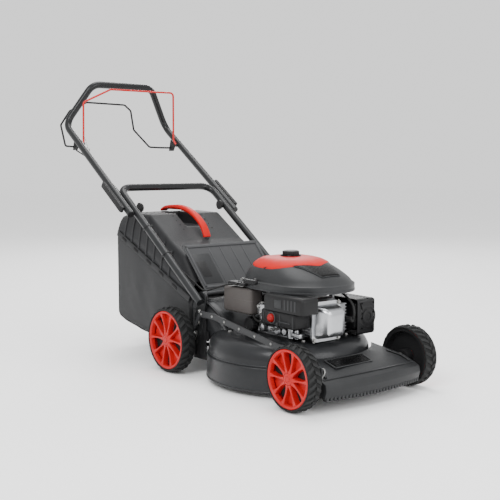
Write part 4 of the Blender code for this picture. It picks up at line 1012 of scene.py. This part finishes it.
def carburettor():
    """The carburettor's body, bowl, throttle linkage, springs and pipes."""
    bm = block((0.004, -0.118, 0.206), (0.046, -0.0853, 0.240), 0.004)
    add(bm, turned([(0, 0.1905), (0.0125, 0.1905), (0.0160, 0.1930), (0.0165, 0.2030), (0.0175, 0.2040),
                    (0.0175, 0.2065), (0, 0.2065)], (0.026, -0.1035, 0), "Z", 40))
    add(bm, turned([(0, -0.122), (0.0045, -0.122), (0.0050, -0.1185), (0.0085, -0.1180), (0.0085, -0.1150),
                    (0, -0.1150)], (0.036, 0, 0.224), "Y", 24))
    put("carburettor_cast", bm, MAT["bright"], "mower", 32, 0.0006, ("carburettor",))
    parts = bmesh.new()
    add(parts, bolt((0.012, -0.118, 0.232), "Y", -0.0040, -0.0038))
    add(parts, bolt((0.020, -0.118, 0.214), "Y", -0.0036, -0.0036))
    add(parts, turned([(0, 0.240), (0.0030, 0.240), (0.0030, 0.2455), (0, 0.2455)], (0.016, -0.108, 0), "Z",
                      16))
    add(parts, block((0.006, -0.1105, 0.2440), (0.030, -0.1055, 0.2455), 0.0004))
    put("carburettor_fittings", parts, MAT["zinc"], "mower", 32)
    wires = bmesh.new()
    add(wires, swept(smooth_line([(0.024, -0.108, 0.2452), (0.010, -0.114, 0.240), (-0.010, -0.116, 0.224),
                                  (-0.020, -0.110, 0.196), (-0.018, -0.100, 0.176)], 8), circle(0.0010, 8)))
    add(wires, spring((0.050, -0.1060, 0.168), (0.088, -0.1080, 0.176), 0.0036, 0.0007, 12))
    add(wires, spring((-0.004, -0.0980, 0.186), (0.016, -0.1010, 0.178), 0.0030, 0.0006, 9))
    add(wires, swept(smooth_line([(0.088, -0.108, 0.176), (0.104, -0.109, 0.181), (0.118, -0.106, 0.176),
                                  (0.134, -0.100, 0.172)], 8), circle(0.0009, 8)))
    put("governor_linkage", wires, MAT["zinc"], "mower", 60)
    hose = bmesh.new()
    add(hose, swept(smooth_line([(-0.010, -0.120, 0.210), (0.000, -0.124, 0.199), (0.014, -0.126, 0.192),
                                 (0.034, -0.124, 0.189), (0.050, -0.118, 0.192), (0.058, -0.110, 0.200)],
                                8),
                    circle(0.0034, 12)))
    put("fuel_hose", hose, MAT["rubber"], "mower", 60)


def block_and_head():
    """The cast crankcase with fins, sump flange, bolts and brackets, and the bright rocker cover."""
    remake("crankcase", MAT["cast"], "mower", 0.0018, name="crankcase_cast")
    fins = bmesh.new()
    for k in range(9):
        z = 0.171 + 0.0092 * k
        add(fins, block((0.132, -0.0835, z), (0.196, 0.0560, z + 0.0028), 0.0006, 1))
    put("cylinder_fins", fins, MAT["cast"], "mower", 30)
    flange = bmesh.new()
    add(flange, block((-0.079, -0.0905, 0.1485), (0.128, 0.0848, 0.1545), 0.0015))
    for x, y in ((-0.070, -0.0875), (-0.020, -0.0885), (0.030, -0.0885), (0.075, -0.0885),
                 (0.118, -0.0875)):
        add(flange, turned([(0, 0.1545), (0.0075, 0.1545), (0.0070, 0.166), (0, 0.166)], (x, y + 0.001, 0),
                           "Z", 20))
    put("sump_flange", flange, MAT["cast"], "mower", 30)
    bolts = bmesh.new()
    for x, y in ((-0.070, -0.0865), (-0.020, -0.0875), (0.030, -0.0875), (0.075, -0.0875),
                 (0.118, -0.0865)):
        add(bolts, bolt((x, y, 0.166), "Z", 0.0046, 0.0050))
    for x, z in ((0.060, 0.172), (0.084, 0.167), (0.126, 0.176), (0.160, 0.166)):
        add(bolts, bolt((x, -0.0852, z), "Y", -0.0042, -0.0050))
    put("crankcase_bolts", bolts, MAT["zinc"], "mower", 30)
    bosses = bmesh.new()
    add(bosses, turned([(0, -0.0845), (0.0150, -0.0845), (0.0145, -0.0990), (0.0105, -0.1020),
                        (0, -0.1020)],
                       (0.072, 0, 0.1680), "Y", 36))
    add(bosses, turned([(0, -0.0845), (0.0095, -0.0845), (0.0090, -0.1060), (0, -0.1060)],
                       (0.110, 0, 0.1700), "Y", 28))
    add(bosses, turned([(0, 0.1545), (0.0100, 0.1545), (0.0095, 0.1880), (0.0070, 0.1900), (0, 0.1900)],
                       (0.132, -0.098, 0), "Z", 28))
    add(bosses, turned([(0, 0.1545), (0.0070, 0.1545), (0.0066, 0.1800), (0, 0.1800)], (0.152, -0.094, 0),
                       "Z", 24))
    add(bosses, block((0.140, -0.106, 0.158), (0.176, -0.0835, 0.172), 0.0025))
    add(bosses, block((0.030, -0.1010, 0.1560), (0.060, -0.0850, 0.1760), 0.0025))
    add(bosses, block((-0.010, -0.0990, 0.1560), (0.012, -0.0850, 0.1820), 0.0030))
    put("crankcase_bosses", bosses, MAT["bright"], "mower", 32, 0.0006)
    plate = bmesh.new()
    add(plate, block((0.0905, -0.1060, 0.1830), (0.136, -0.0875, 0.1845), 0.0005))
    add(plate, block((0.020, -0.1075, 0.1840), (0.052, -0.0885, 0.1853), 0.0005))
    put("governor_plates", plate, MAT["zinc"], "mower", 30)

    head = []
    for x, grow in ((0.2003, 0.0), (0.2043, 0.0005), (0.2048, -0.0085), (0.2270, -0.0130),
                    (0.2370, -0.0165),
                    (0.2435, -0.0210), (0.2470, -0.0275), (0.2480, -0.0350)):
        outline = rounded(0.0530 + grow, 0.0555 + grow, 0.016 + max(grow * 0.3, -0.006), 8)
        head.append([(x, -0.0315 + y, 0.206 + z) for y, z in outline])
    put("rocker_cover_pressed", skin(head), MAT["bright"], "mower", 26, 0.0,
        ("rocker_cover",))
    gasket = [[(x, -0.0315 + y, 0.206 + z) for y, z in rounded(0.0535, 0.0560, 0.016, 8)]
              for x in (0.1965, 0.2002)]
    put("rocker_gasket", skin(gasket), MAT["cast"], "mower", 30)
    bolts = bmesh.new()
    for y, z in ((-0.0780, 0.2560), (0.0150, 0.2560), (-0.0780, 0.1560), (0.0150, 0.1560)):
        add(bolts, bolt((0.2043, y, z), "X", 0.0046, 0.0055))
    put("rocker_bolts", bolts, MAT["zinc"], "mower", 30)
    plug = turned([(0, 0.2003), (0.0085, 0.2003), (0.0085, 0.2080), (0.0065, 0.2090), (0.0065, 0.2140),
                   (0, 0.2140)],
                  (0, 0.038, 0.206), "X", 6)
    add(plug, turned([(0, 0.2100), (0.0078, 0.2100), (0.0085, 0.2160), (0.0085, 0.2330), (0.0062, 0.2395),
                      (0, 0.2400)],
                     (0, 0.038, 0.206), "X", 24))
    put("spark_plug_and_boot", plug, MAT["rubber"], "mower", 40, replaces=("spark_plug",))
    lead = swept(smooth_line([(0.236, 0.038, 0.206), (0.242, 0.040, 0.222), (0.232, 0.044, 0.248),
                              (0.205, 0.046, 0.268), (0.180, 0.046, 0.280)], 8), circle(0.0034, 12))
    put("spark_lead", lead, MAT["rubber"], "mower", 60)


def muffler_guard():
    """The pressed guard with rows of holes and round reliefs."""
    bm = bmesh.new()
    bm.from_mesh(NODES["muffler_guard"].data)
    bmesh.ops.remove_doubles(bm, verts=bm.verts, dist=1e-5)
    guard = put("muffler_guard_pressed", bm, MAT["muffler"], "mower", 30, 0.0,
                ("muffler_guard",), True)
    cutters = bmesh.new()
    def hole(at, axis, radius):
        add(cutters, turned([(0, -0.006), (radius, -0.006), (radius, 0.006), (0, 0.006)], at, axis, 12))
    for k in range(8):
        hole((0.206 - 0.0138 * k, 0.130, 0.256), "Z", 0.0035)
        hole((0.206 - 0.0138 * k, 0.150, 0.256), "Z", 0.0035)
    for k in range(6):
        hole((0.212, 0.150, 0.170 + 0.0145 * k), "X", 0.0038)
        hole((0.212, 0.1025, 0.170 + 0.0145 * k), "X", 0.0030)
    for k in range(9):
        hole((0.103 + 0.012 * k, 0.160, 0.246), "Y", 0.0035)
        hole((0.103 + 0.012 * k, 0.160, 0.162), "Y", 0.0035)
    for k in range(10):
        angle = 2 * math.pi * k / 10
        hole((0.150 + 0.024 * math.cos(angle), 0.160, 0.204 + 0.024 * math.sin(angle)), "Y", 0.0038)
    cutters.transform(Matrix.Translation((SHIFT, 0, 0)))
    mesh = bpy.data.meshes.new("guard_holes")
    cutters.to_mesh(mesh)
    cutters.free()
    holes = bpy.data.objects.new("guard_holes", mesh)
    bpy.context.scene.collection.objects.link(holes)
    step = guard.modifiers.new("holes", "BOOLEAN")
    step.operation = "DIFFERENCE"
    step.solver = "EXACT"
    step.object = holes
    apply_modifiers(guard)
    bpy.data.objects.remove(holes)
    relief = ring_of([(0.013, 0.212), (0.013, 0.2133), (0.017, 0.2138), (0.021, 0.2133), (0.021, 0.212)],
                     (0, 0.1265, 0.203), "X", 40)
    add(relief, ring_of([(0.0285, 0.212), (0.0285, 0.2130), (0.031, 0.2133), (0.0335, 0.212)],
                        (0, 0.1265, 0.203), "X", 48))
    for y0, z0, y1, z1 in ((0.096, 0.244, 0.106, 0.222), (0.150, 0.161, 0.142, 0.176)):
        add(relief, swept([(0.2128, y0, z0), (0.2128, y1, z1)], rounded(0.002, 0.0008, 0.0007, 2)))
    put("muffler_guard_reliefs", relief, MAT["muffler"], "mower", 40)
    remake("muffler", MAT["muffler"], "mower", 0.0015, name="muffler_box")


def apply_modifiers(piece):
    """Replace a piece's mesh by what its modifiers make of it."""
    graph = bpy.context.evaluated_depsgraph_get()
    made = bpy.data.meshes.new_from_object(piece.evaluated_get(graph))
    piece.modifiers.clear()
    piece.data = made
    made.shade_smooth()
    made.set_sharp_from_angle(angle=math.radians(30))


def tank():
    """The fuel tank with its rounded shoulders and welded seam, and the black ledge of the recoil recess
    above it.
    """
    bm = block((-0.138, -0.136, 0.204), (-0.003, -0.0855, 0.2803), 0.0)
    vertical = [e for e in bm.edges if abs(e.verts[0].co.z - e.verts[1].co.z) > 0.01]
    bmesh.ops.bevel(bm, geom=vertical, offset=0.013, segments=5, affect="EDGES", profile=0.5)
    level = [e for e in bm.edges if abs(e.verts[0].co.z - e.verts[1].co.z) < 1e-5 and len(e.link_faces) == 2
             and abs(e.link_faces[0].normal.dot(e.link_faces[1].normal)) < 0.5]
    bmesh.ops.bevel(bm, geom=level, offset=0.009, segments=5, affect="EDGES", profile=0.5)
    put("fuel_tank_moulded", bm, MAT["tank"], "mower", 40, replaces=("fuel_tank",))
    seam = []
    for x, y in rounded(0.0680, 0.0258, 0.013, 6):
        seam.append((-0.0705 + x, -0.1108 + y))
    bm = skin([[(x, y, z) for x, y in seam] for z in (0.2440, 0.2462)])
    put("fuel_tank_seam", bm, MAT["tank"], "mower", 40)
    neck = bmesh.new()
    add(neck, block((-0.110, -0.138, 0.286), (-0.030, -0.108, 0.296), 0.003))
    put("recoil_recess_ledge", neck, MAT["black"], "mower", 40)


def recoil():
    """The starter's T-handle, its rope and the guide it rests in."""
    bm = block((-0.016, -0.156, 0.2992), (0.040, -0.1415, 0.3128), 0.0)
    bmesh.ops.bevel(bm, geom=bm.edges[:], offset=0.0045, segments=4, affect="EDGES", profile=0.5)
    put("recoil_grip", bm, MAT["black"], "recoil", 40, replaces=("recoil_handle",))
    ribs = bmesh.new()
    for k in range(6):
        add(ribs, block((-0.010 + 0.0085 * k, -0.1566, 0.3015), (-0.0075 + 0.0085 * k, -0.1555, 0.3105),
                        0.0005))
    put("recoil_grip_ribs", ribs, MAT["black"], "recoil", 40)
    rope = swept([(0.012, -0.142, 0.306), (0.012, -0.137, 0.306), (0.012, -0.1322, 0.306)],
                 circle(0.0024, 10))
    put("recoil_rope", rope, MAT["webbing"], "recoil", 60)
    guide = ring_of([(0.0036, -0.1335), (0.0040, -0.1350), (0.0072, -0.1352), (0.0090, -0.1300),
                     (0.0036, -0.1300)],
                    (0.012, 0, 0.306), "Y", 32)
    put("recoil_guide", guide, MAT["black"], "mower", 40)


# ---------------------------------------------------------------- deck, nose and height gear
def deck_pieces():
    """The pressed deck with its rolled rim, stiffening beads, bolts and rear skirt."""
    remake("deck_shell", MAT["deck"], "mower", 0.0016, 24, "deck_pressed", 3)
    rim = ring_of([(0.2405, 0.0152), (0.2450, 0.0152), (0.2468, 0.0165), (0.2475, 0.0185), (0.2462, 0.0208),
                   (0.2450, 0.0215)], (CRANK_X, 0, 0), "Z", 120)
    put("deck_rim_roll", rim, MAT["deck"], "mower", 50)
    bead = ring_of([(0.2392, 0.0862), (0.2402, 0.0872), (0.2404, 0.0892), (0.2388, 0.0905)],
                   (CRANK_X, 0, 0), "Z", 120)
    put("deck_shoulder_bead", bead, MAT["deck"], "mower", 60)
    steps = bmesh.new()
    for side in (-1, 1):
        line = [(-0.196, side * 0.158, 0.2255), (-0.165, side * 0.1560, 0.2115),
                (-0.135, side * 0.1520, 0.192),
                (-0.105, side * 0.1480, 0.168), (-0.090, side * 0.1440, 0.1545)]
        add(steps, swept(smooth_line(line, 8), rounded(0.0042, 0.0016, 0.0014, 3)))
    put("chute_beads", steps, MAT["deck"], "mower", 60)
    bolts = bmesh.new()
    for angle in (28, 62, 118, 152, 208, 242, 298, 332):
        a = math.radians(angle)
        add(bolts, bolt((CRANK_X + 0.178 * math.cos(a), 0.178 * math.sin(a), 0.1482), "Z", 0.0050, 0.0055))
    put("deck_bolts", bolts, MAT["zinc"], "mower", 30)
    skirt = bmesh.new()
    for side in (-1, 1):
        line = [(-0.158, side * 0.1735, 0.124), (-0.190, side * 0.1745, 0.120),
                (-0.225, side * 0.1745, 0.119),
                (-0.2565, side * 0.1740, 0.119)]
        add(skirt, swept(smooth_line(line, 6), rounded(0.0012, 0.0150, 0.0011, 2)))
    put("chute_side_skirts", skirt, MAT["black"], "mower", 40)
    mouth = []
    for x in (-0.2462, -0.2578):
        mouth.append([(x, y * 1.006, 0.1755 + z * 1.008) for y, z in rounded(0.172, 0.0625, 0.036, 8)])
    put("chute_mouth_collar", skin(mouth, caps=False), MAT["black"], "mower", 60)
    for word in ("left", "right"):
        remake("handle_bracket_" + word, MAT["tube"], "mower", 0.0012)
    knobs = bmesh.new()
    for side in (-1, 1):
        add(knobs, bolt((-0.206, side * 0.1776, 0.160), "Y", side * 0.0050, side * 0.0060))
        add(knobs, bolt((-0.198, side * 0.1776, 0.196), "Y", side * 0.0050, side * 0.0060))
    put("handle_bracket_bolts", knobs, MAT["zinc"], "mower", 30)
    skirt = bmesh.new()
    for side in (-1, 1):
        add(skirt, block((-0.236, side * 0.1735 - 0.0018, 0.048), (-0.170, side * 0.1735 + 0.0018, 0.196),
                         0.0012))
        for rib in range(4):
            x = -0.228 + 0.017 * rib
            add(skirt, block((x, side * 0.1755 - 0.0012, 0.056),
                             (x + 0.0030, side * 0.1755 + 0.0012, 0.188), 0.0006))
    put("deck_rear_skirts", skirt, MAT["black"], "mower", 40)


def nose_pieces():
    """The moulded nose: its ridge, comb, blank glossy panel and raised border."""
    remake("nose_cover", MAT["nose"], "mower", 0.0030, 20, "nose_moulded", 4)
    comb = bmesh.new()
    for k in range(30):
        y = -0.174 + 0.012 * k
        share = y / 0.182
        front = 0.365 + 0.020 * (1 - share * share)
        add(comb, block((front - 0.020, y - 0.0040, 0.0335), (front - 0.0045, y + 0.0040, 0.0440), 0.0012))
    put("nose_comb", comb, MAT["nose"], "mower", 40)
    ridge = bmesh.new()
    line = []
    for k in range(25):
        share = -0.96 + 1.92 * k / 24
        y = share * 0.182
        bulge = 0.020 * (1 - share * share)
        rise = 0.006 * (1 - share * share)
        line.append((0.365 + bulge - 0.0225, y, 0.0862 + rise))
    add(ridge, swept(line, rounded(0.0035, 0.0010, 0.0009, 3)))
    line = [(x - 0.0385, y, z + 0.0048) for x, y, z in line]
    add(ridge, swept(line, rounded(0.0022, 0.0012, 0.0010, 3)))
    put("nose_ridges", ridge, MAT["nose"], "mower", 60)
    lip = bmesh.new()
    for side in (-1, 1):
        line = [(0.262, side * 0.1555, 0.1090), (0.290, side * 0.1580, 0.1058),
                (0.318, side * 0.1600, 0.1015),
                (0.342, side * 0.1620, 0.0915)]
        add(lip, swept(smooth_line(line, 6), rounded(0.0035, 0.0016, 0.0014, 3)))
    put("nose_side_lips", lip, MAT["nose"], "mower", 60)

    def ridge_z(x):
        return 0.124 - 0.019 * (x - 0.150) / 0.175

    corners = ((0.262, -0.092), (0.262, 0.052), (0.322, 0.030), (0.322, -0.108))
    border = bmesh.new()
    loop = [Vector((x, y, ridge_z(x) + 0.0006)) for x, y in corners]
    for a, b in zip(loop, loop[1:] + loop[:1]):
        add(border, swept([a, (a + b) / 2, b], rounded(0.0030, 0.0012, 0.0010, 3)))
    put("nose_panel_border", border, MAT["nose"], "mower", 50)
    top, low = [], []
    inner = ((0.266, -0.086), (0.266, 0.044), (0.317, 0.0235), (0.317, -0.1005))
    for x, y in inner:
        low.append((x, y, ridge_z(x) + 0.0001))
        top.append((x, y, ridge_z(x) + 0.0018))
    panel = skin([low, top])
    put("nose_panel_gloss", panel, MAT["gloss"], "mower", 40, 0.0006, ("nose_panel",))


def height_pieces():
    """Cranks, axles, the link along the side with its rivets, and the running gear under the deck."""
    remake("front_axle", MAT["zinc"], "front_cranks", 0.0006)
    for word in ("left", "right"):
        remake("rear_crank_" + word, MAT["zinc"], "rear_cranks", 0.0006)
        remake("rear_" + word + "_gear", MAT["black"], "rear_" + word + "_wheel", 0.0003,
               20)
    remake("height_tie_rod", MAT["rail"], "tie_rod", 0.0010, name="height_link")
    edge = bmesh.new()
    line = [(-0.172, -0.1968, 0.2020), (-0.105, -0.1968, 0.2030), (0.190, -0.1968, 0.1600),
            (0.268, -0.1968, 0.1565)]
    add(edge, swept(line, rounded(0.0016, 0.0008, 0.0007, 2)))
    rivets = bmesh.new()
    for x in (-0.165, -0.110, -0.050, 0.020, 0.090, 0.160, 0.230):
        z = 0.194 - 0.043 * (x + 0.105) / 0.295 if x > -0.105 else 0.1935
        z = min(z, 0.194)
        add(rivets, turned([(0, -0.1966), (0.0042, -0.1966), (0.0036, -0.1980), (0.0018, -0.1988),
                            (0, -0.1990)],
                           (x, 0, z), "Y", 20))
    put("height_link_edge", edge, MAT["rail"], "tie_rod", 40)
    put("height_link_rivets", rivets, MAT["zinc"], "tie_rod", 40)
    remake("gearbox", MAT["cast"], "mower", 0.0012)
    remake("drive_belt", MAT["rubber"], "mower", 0.0005)
    remake("drive_shaft", MAT["steel"], "drive_shaft", 0.0005)
    remake("gearbox_pulley", MAT["steel"], "gearbox_input", 0.0005)
    for node in ("crankshaft", "blade_adapter", "blade_bolt", "engine_pulley"):
        remake(node, MAT["steel"], "engine_shaft", 0.0005)
    remake("flywheel", MAT["cast"], "engine_shaft", 0.0008)
    vanes = bmesh.new()
    for k in range(16):
        angle = 2 * math.pi * k / 16
        vane = block((0.064, -0.0012, 0.296), (0.084, 0.0012, 0.312), 0.0004, 1)
        vane.transform(Matrix.Translation((CRANK_X, 0, 0)) @ Matrix.Rotation(angle, 4, "Z"))
        add(vanes, vane)
    put("flywheel_vanes", vanes, MAT["cast"], "engine_shaft", 30)
    rings = []
    for x, half, lift in ((-0.2180, 0.026, 0.0), (-0.150, 0.026, 0.0), (0.0, 0.029, 0.0),
                          (0.170, 0.026, 0.0),
                          (0.2380, 0.026, 0.0)):
        rings.append([(x, -half, 0.0455), (x, half * 0.80, 0.0455), (x, half, 0.0468), (x, half, 0.0495),
                      (x, -half, 0.0495), (x, -half, 0.0470)])
    put("blade_ground", skin(rings), MAT["steel"], "engine_shaft", 20, 0.0004, ("blade",))


# ---------------------------------------------------------------- handle
def straight(x):
    """The height of the lower handle's middle line at x."""
    return 0.235 + (0.561 - 0.235) * (x + 0.190) / (-0.648 + 0.190)


def handle_pieces():
    """Both tube sections with their joints, clamps, bails and brackets."""
    foot = -0.178
    route = [(foot, 0.190, straight(foot)), (-0.648, 0.190, 0.561)]
    route += [(x, -y, z) for x, y, z in reversed(route)]
    put("lower_handle_tube", swept(eased(route, 0.050, 14), circle(TUBE_R, 28)), MAT["tube"],
        "lower_handle",
        60, replaces=("lower_handle",))
    upper = 0.2153
    route = [(-0.530, upper, 0.477), (-0.980, upper, 0.785), (-0.937, 0.125, 0.930)]
    route += [(x, -y, z) for x, y, z in reversed(route)]
    put("upper_handle_tube", swept(eased(route, 0.055, 14), circle(TUBE_R, 28)), MAT["tube"],
        "upper_handle",
        60, replaces=("upper_handle",))
    plugs = bmesh.new()
    for side in (-1, 1):
        along = Vector((0.45, 0, -0.308)).normalized()
        start = Vector((-0.530, side * upper, 0.477))
        add(plugs, swept([start - along * 0.001, start + along * 0.0016], circle(0.0118, 24)))
    put("tube_end_plugs", plugs, MAT["black"], "upper_handle", 40)
    for word in ("left", "right"):
        remake("bail_bracket_" + word, MAT["black"], "upper_handle", 0.0006)
        remake("clamp_lever_" + word, MAT["black"], "clamp_" + word, 0.0022, 25,
               "clamp_lever_moulded_" + word, 4)
    fixings = bmesh.new()
    pads = bmesh.new()
    for side in (-1, 1):
        add(pads, turned([(0, 0), (0.0165, 0), (0.0165, 0.006), (0.0130, 0.011), (0, 0.011)],
                         (-0.560, side * 0.1660, straight(-0.560) - 0.002), "Y", 40))
        add(fixings, bolt((-0.606, side * 0.2280, 0.5290), "Y", side * 0.0045, side * 0.0050))
    put("handle_joint_knobs", pads, MAT["black"], "lower_handle", 40)
    put("handle_joint_bolts", fixings, MAT["zinc"], "upper_handle", 30)

    bail_y = upper - 0.0125 - 0.0035 - 0.0003
    x0, z0 = -0.875, 0.712
    route = [(x0, bail_y, z0), (x0 - 0.012, bail_y - 0.006, z0 + 0.020), (-0.886, bail_y - 0.006, 0.911),
             (-0.886, -0.080, 0.911), (-0.883, -bail_y + 0.006, 0.860),
             (x0 - 0.012, -bail_y + 0.006, z0 + 0.020),
             (x0, -bail_y, z0)]
    put("blade_bail_rod", swept(eased(route, 0.016, 8), circle(BAIL_R, 16)), MAT["bail_red"], "blade_bail",
        60, replaces=("blade_bail",))
    x0, z0 = -0.925, 0.703
    route = [(x0, -0.2135, z0), (-0.975, -0.220, 0.706), (-1.005, -0.222, 0.783), (-1.005, -0.185, 0.835),
             (-1.005, -0.115, 0.869), (-1.005, 0.048, 0.866), (-1.005, 0.075, 0.845),
             (-1.004, 0.087, 0.772),
             (-0.985, 0.146, 0.706), (-0.960, 0.180, 0.704), (x0, 0.2023, z0)]
    put("drive_bail_rod", swept(eased(route, 0.014, 8), circle(BAIL_R, 16)), MAT["bail_black"],
        "drive_bail",
        60, replaces=("drive_bail",))
    pivots = bmesh.new()
    for side in (-1, 1):
        add(pivots, turned([(0, side * (bail_y + 0.0005)), (0.0062, side * (bail_y + 0.0005)),
                            (0.0062, side * (bail_y - 0.0020)), (0.0045, side * (bail_y - 0.0040)),
                            (0, side * (bail_y - 0.0040))], (-0.875, 0, 0.712), "Y", 24))
    put("blade_bail_bushes", pivots, MAT["black"], "blade_bail", 40)
    holders = bmesh.new()
    add(holders, block((-0.872, -0.2035, 0.676), (-0.846, -0.1985, 0.700), 0.0012))
    add(holders, block((-0.864, -0.1990, 0.684), (-0.852, -0.1870, 0.696), 0.0012))
    put("brake_cable_bracket", holders, MAT["zinc"], "upper_handle", 30)
    inner = bmesh.new()
    add(inner, swept(smooth_line([(-0.858, -0.1905, 0.691), (-0.866, -0.1920, 0.712),
                                  (-0.8815, -0.1930, 0.742)], 6),
                     circle(0.0009, 8)))
    put("brake_inner_wire", inner, MAT["zinc"], "upper_handle", 60)


# ---------------------------------------------------------------- cables
def beside_tube(x, drop):
    """A point where a cable lies on the lower tube."""
    reach = TUBE_R + CABLE_R + GAP
    return (x, -0.190 + math.sqrt(reach * reach - drop * drop), straight(x) - drop * 1.2)


def cable(name, node, route, cut):
    """One control cable as two pieces that meet along the lower handle."""
    line = smooth_line(eased(route, 0.040, 4), 3)
    upper_part = [p for p in line if p.x <= cut]
    lower_part = [p for p in line if p.x >= cut]
    upper_part = upper_part + [lower_part[0]]
    for word, part, body_a, body_b, start, end in (
            ("upper", upper_part, "upper_handle", "lower_handle", (-0.660, -0.18, 0.54),
             (-0.560, -0.18, 0.49)),
            ("lower", lower_part, "lower_handle", "mower", (-0.270, -0.18, 0.28), (-0.200, -0.18, 0.24))):
        bm = swept(part, circle(0.0025, 14))
        piece = put(name + "_" + word, bm, MAT["rubber"], None, 60,
                    replaces=(node,) if word == "upper" else ())
        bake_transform(piece)


def cables():
    """Both cables and the ties that hold them along the tube."""
    brake = [(-0.860, -0.1905, 0.690), (-0.800, -0.186, 0.634), (-0.700, -0.184, 0.572),
             (-0.600, -0.172, 0.502),
             beside_tube(-0.520, 0.001), beside_tube(-0.300, 0.001), (-0.190, -0.166, 0.256),
             (-0.100, -0.150, 0.286), (-0.060, -0.1390, 0.292)]
    drive = [(-0.905, -0.2130, 0.690), (-0.850, -0.205, 0.668), (-0.760, -0.196, 0.600),
             (-0.640, -0.172, 0.515),
             beside_tube(-0.480, 0.0075), beside_tube(-0.300, 0.0075), (-0.235, -0.176, 0.226)]
    cable("brake_cable_sheath", "brake_cable", brake, -0.430)
    cable("drive_cable_sheath", "drive_cable", drive, -0.430)
    ties = bmesh.new()
    for x in (-0.470, -0.360):
        centre = Vector((x, -0.1870, straight(x) - 0.002))
        along = Vector((-0.815, 0, 0.58))
        side, up = Vector((0, 1, 0)), Vector((0.58, 0, 0.815))
        rings = []
        for k in range(29):
            a = 2 * math.pi * k / 28
            rim = centre + side * 0.0178 * math.cos(a) + up * 0.0150 * math.sin(a)
            out = (side * math.cos(a) + up * math.sin(a)) * 0.0009
            rings.append([rim + along * 0.0018, rim + along * 0.0018 + out, rim - along * 0.0018 + out,
                          rim - along * 0.0018])
        add(ties, skin(rings, caps=False))
    put("cable_ties", ties, MAT["black"], "lower_handle", 40)


# ---------------------------------------------------------------- rear flap
def flap_pieces():
    """The hinged rear flap with ribs, a darker field laid on it as painted shade for a recess, a blank
    plate and its rod.
    """
    remake("rear_flap", MAT["light"], "flap", 0.0012, 25, "rear_flap_moulded", 3)
    remake("flap_rod", MAT["steel"], "mower", 0.0003)
    foot, top = Vector((-0.200, 0, 0.247)), Vector((-0.330, 0, 0.385))
    rise = (top - foot).normalized()
    face = Vector((rise.z, 0, -rise.x))
    bm = bmesh.new()

    def lay(low, high, y0, y1, proud, thick, edge):
        piece = block((low, y0, proud), (high, y1, proud + thick), edge)
        turn = Matrix((rise, Vector((0, 1, 0)), face)).transposed().to_4x4()
        piece.transform(Matrix.Translation(foot) @ turn)
        return piece

    for y in (-0.144, 0.137):
        add(bm, lay(0.020, 0.184, y, y + 0.007, 0.0015, 0.0030, 0.0012))
    add(bm, lay(0.176, 0.186, -0.144, 0.144, 0.0015, 0.0030, 0.0012))
    add(bm, lay(0.018, 0.026, -0.144, 0.144, 0.0015, 0.0030, 0.0012))
    for y in (-0.060, -0.015, 0.030, 0.075):
        add(bm, lay(0.030, 0.174, y, y + 0.0035, 0.0015, 0.0018, 0.0008))
    put("rear_flap_ribs", bm, MAT["light"], "flap", 40)
    # Painted shade: a darker field on the flap stands in for the shade of a recess.
    recess_shade = lay(0.034, 0.150, -0.136, -0.068, 0.0018, 0.0010, 0.0006)
    put("rear_flap_recess_shade", recess_shade, MAT["cover"], "flap", 40)
    plate = lay(0.060, 0.120, -0.130, -0.098, 0.0026, 0.0010, 0.0004)
    put("rear_flap_blank_plate", plate, MAT["black"], "flap", 40)


# ---------------------------------------------------------------- everything
add_camera()
add_stage()
MAT = make_materials()
for word in ("front_left", "front_right", "rear_left", "rear_right"):
    wheel(word, 1 if word.endswith("left") else -1, word.startswith("rear"))
fabric_bag()
bag_seams()
bag_lid()
bag_trim()
bag_handle()
engine_cover()
cover_insert()
front_panel()
caps_and_knobs()
filter_housing()
carburettor()
block_and_head()
muffler_guard()
tank()
recoil()
deck_pieces()
nose_pieces()
height_pieces()
handle_pieces()
cables()
flap_pieces()
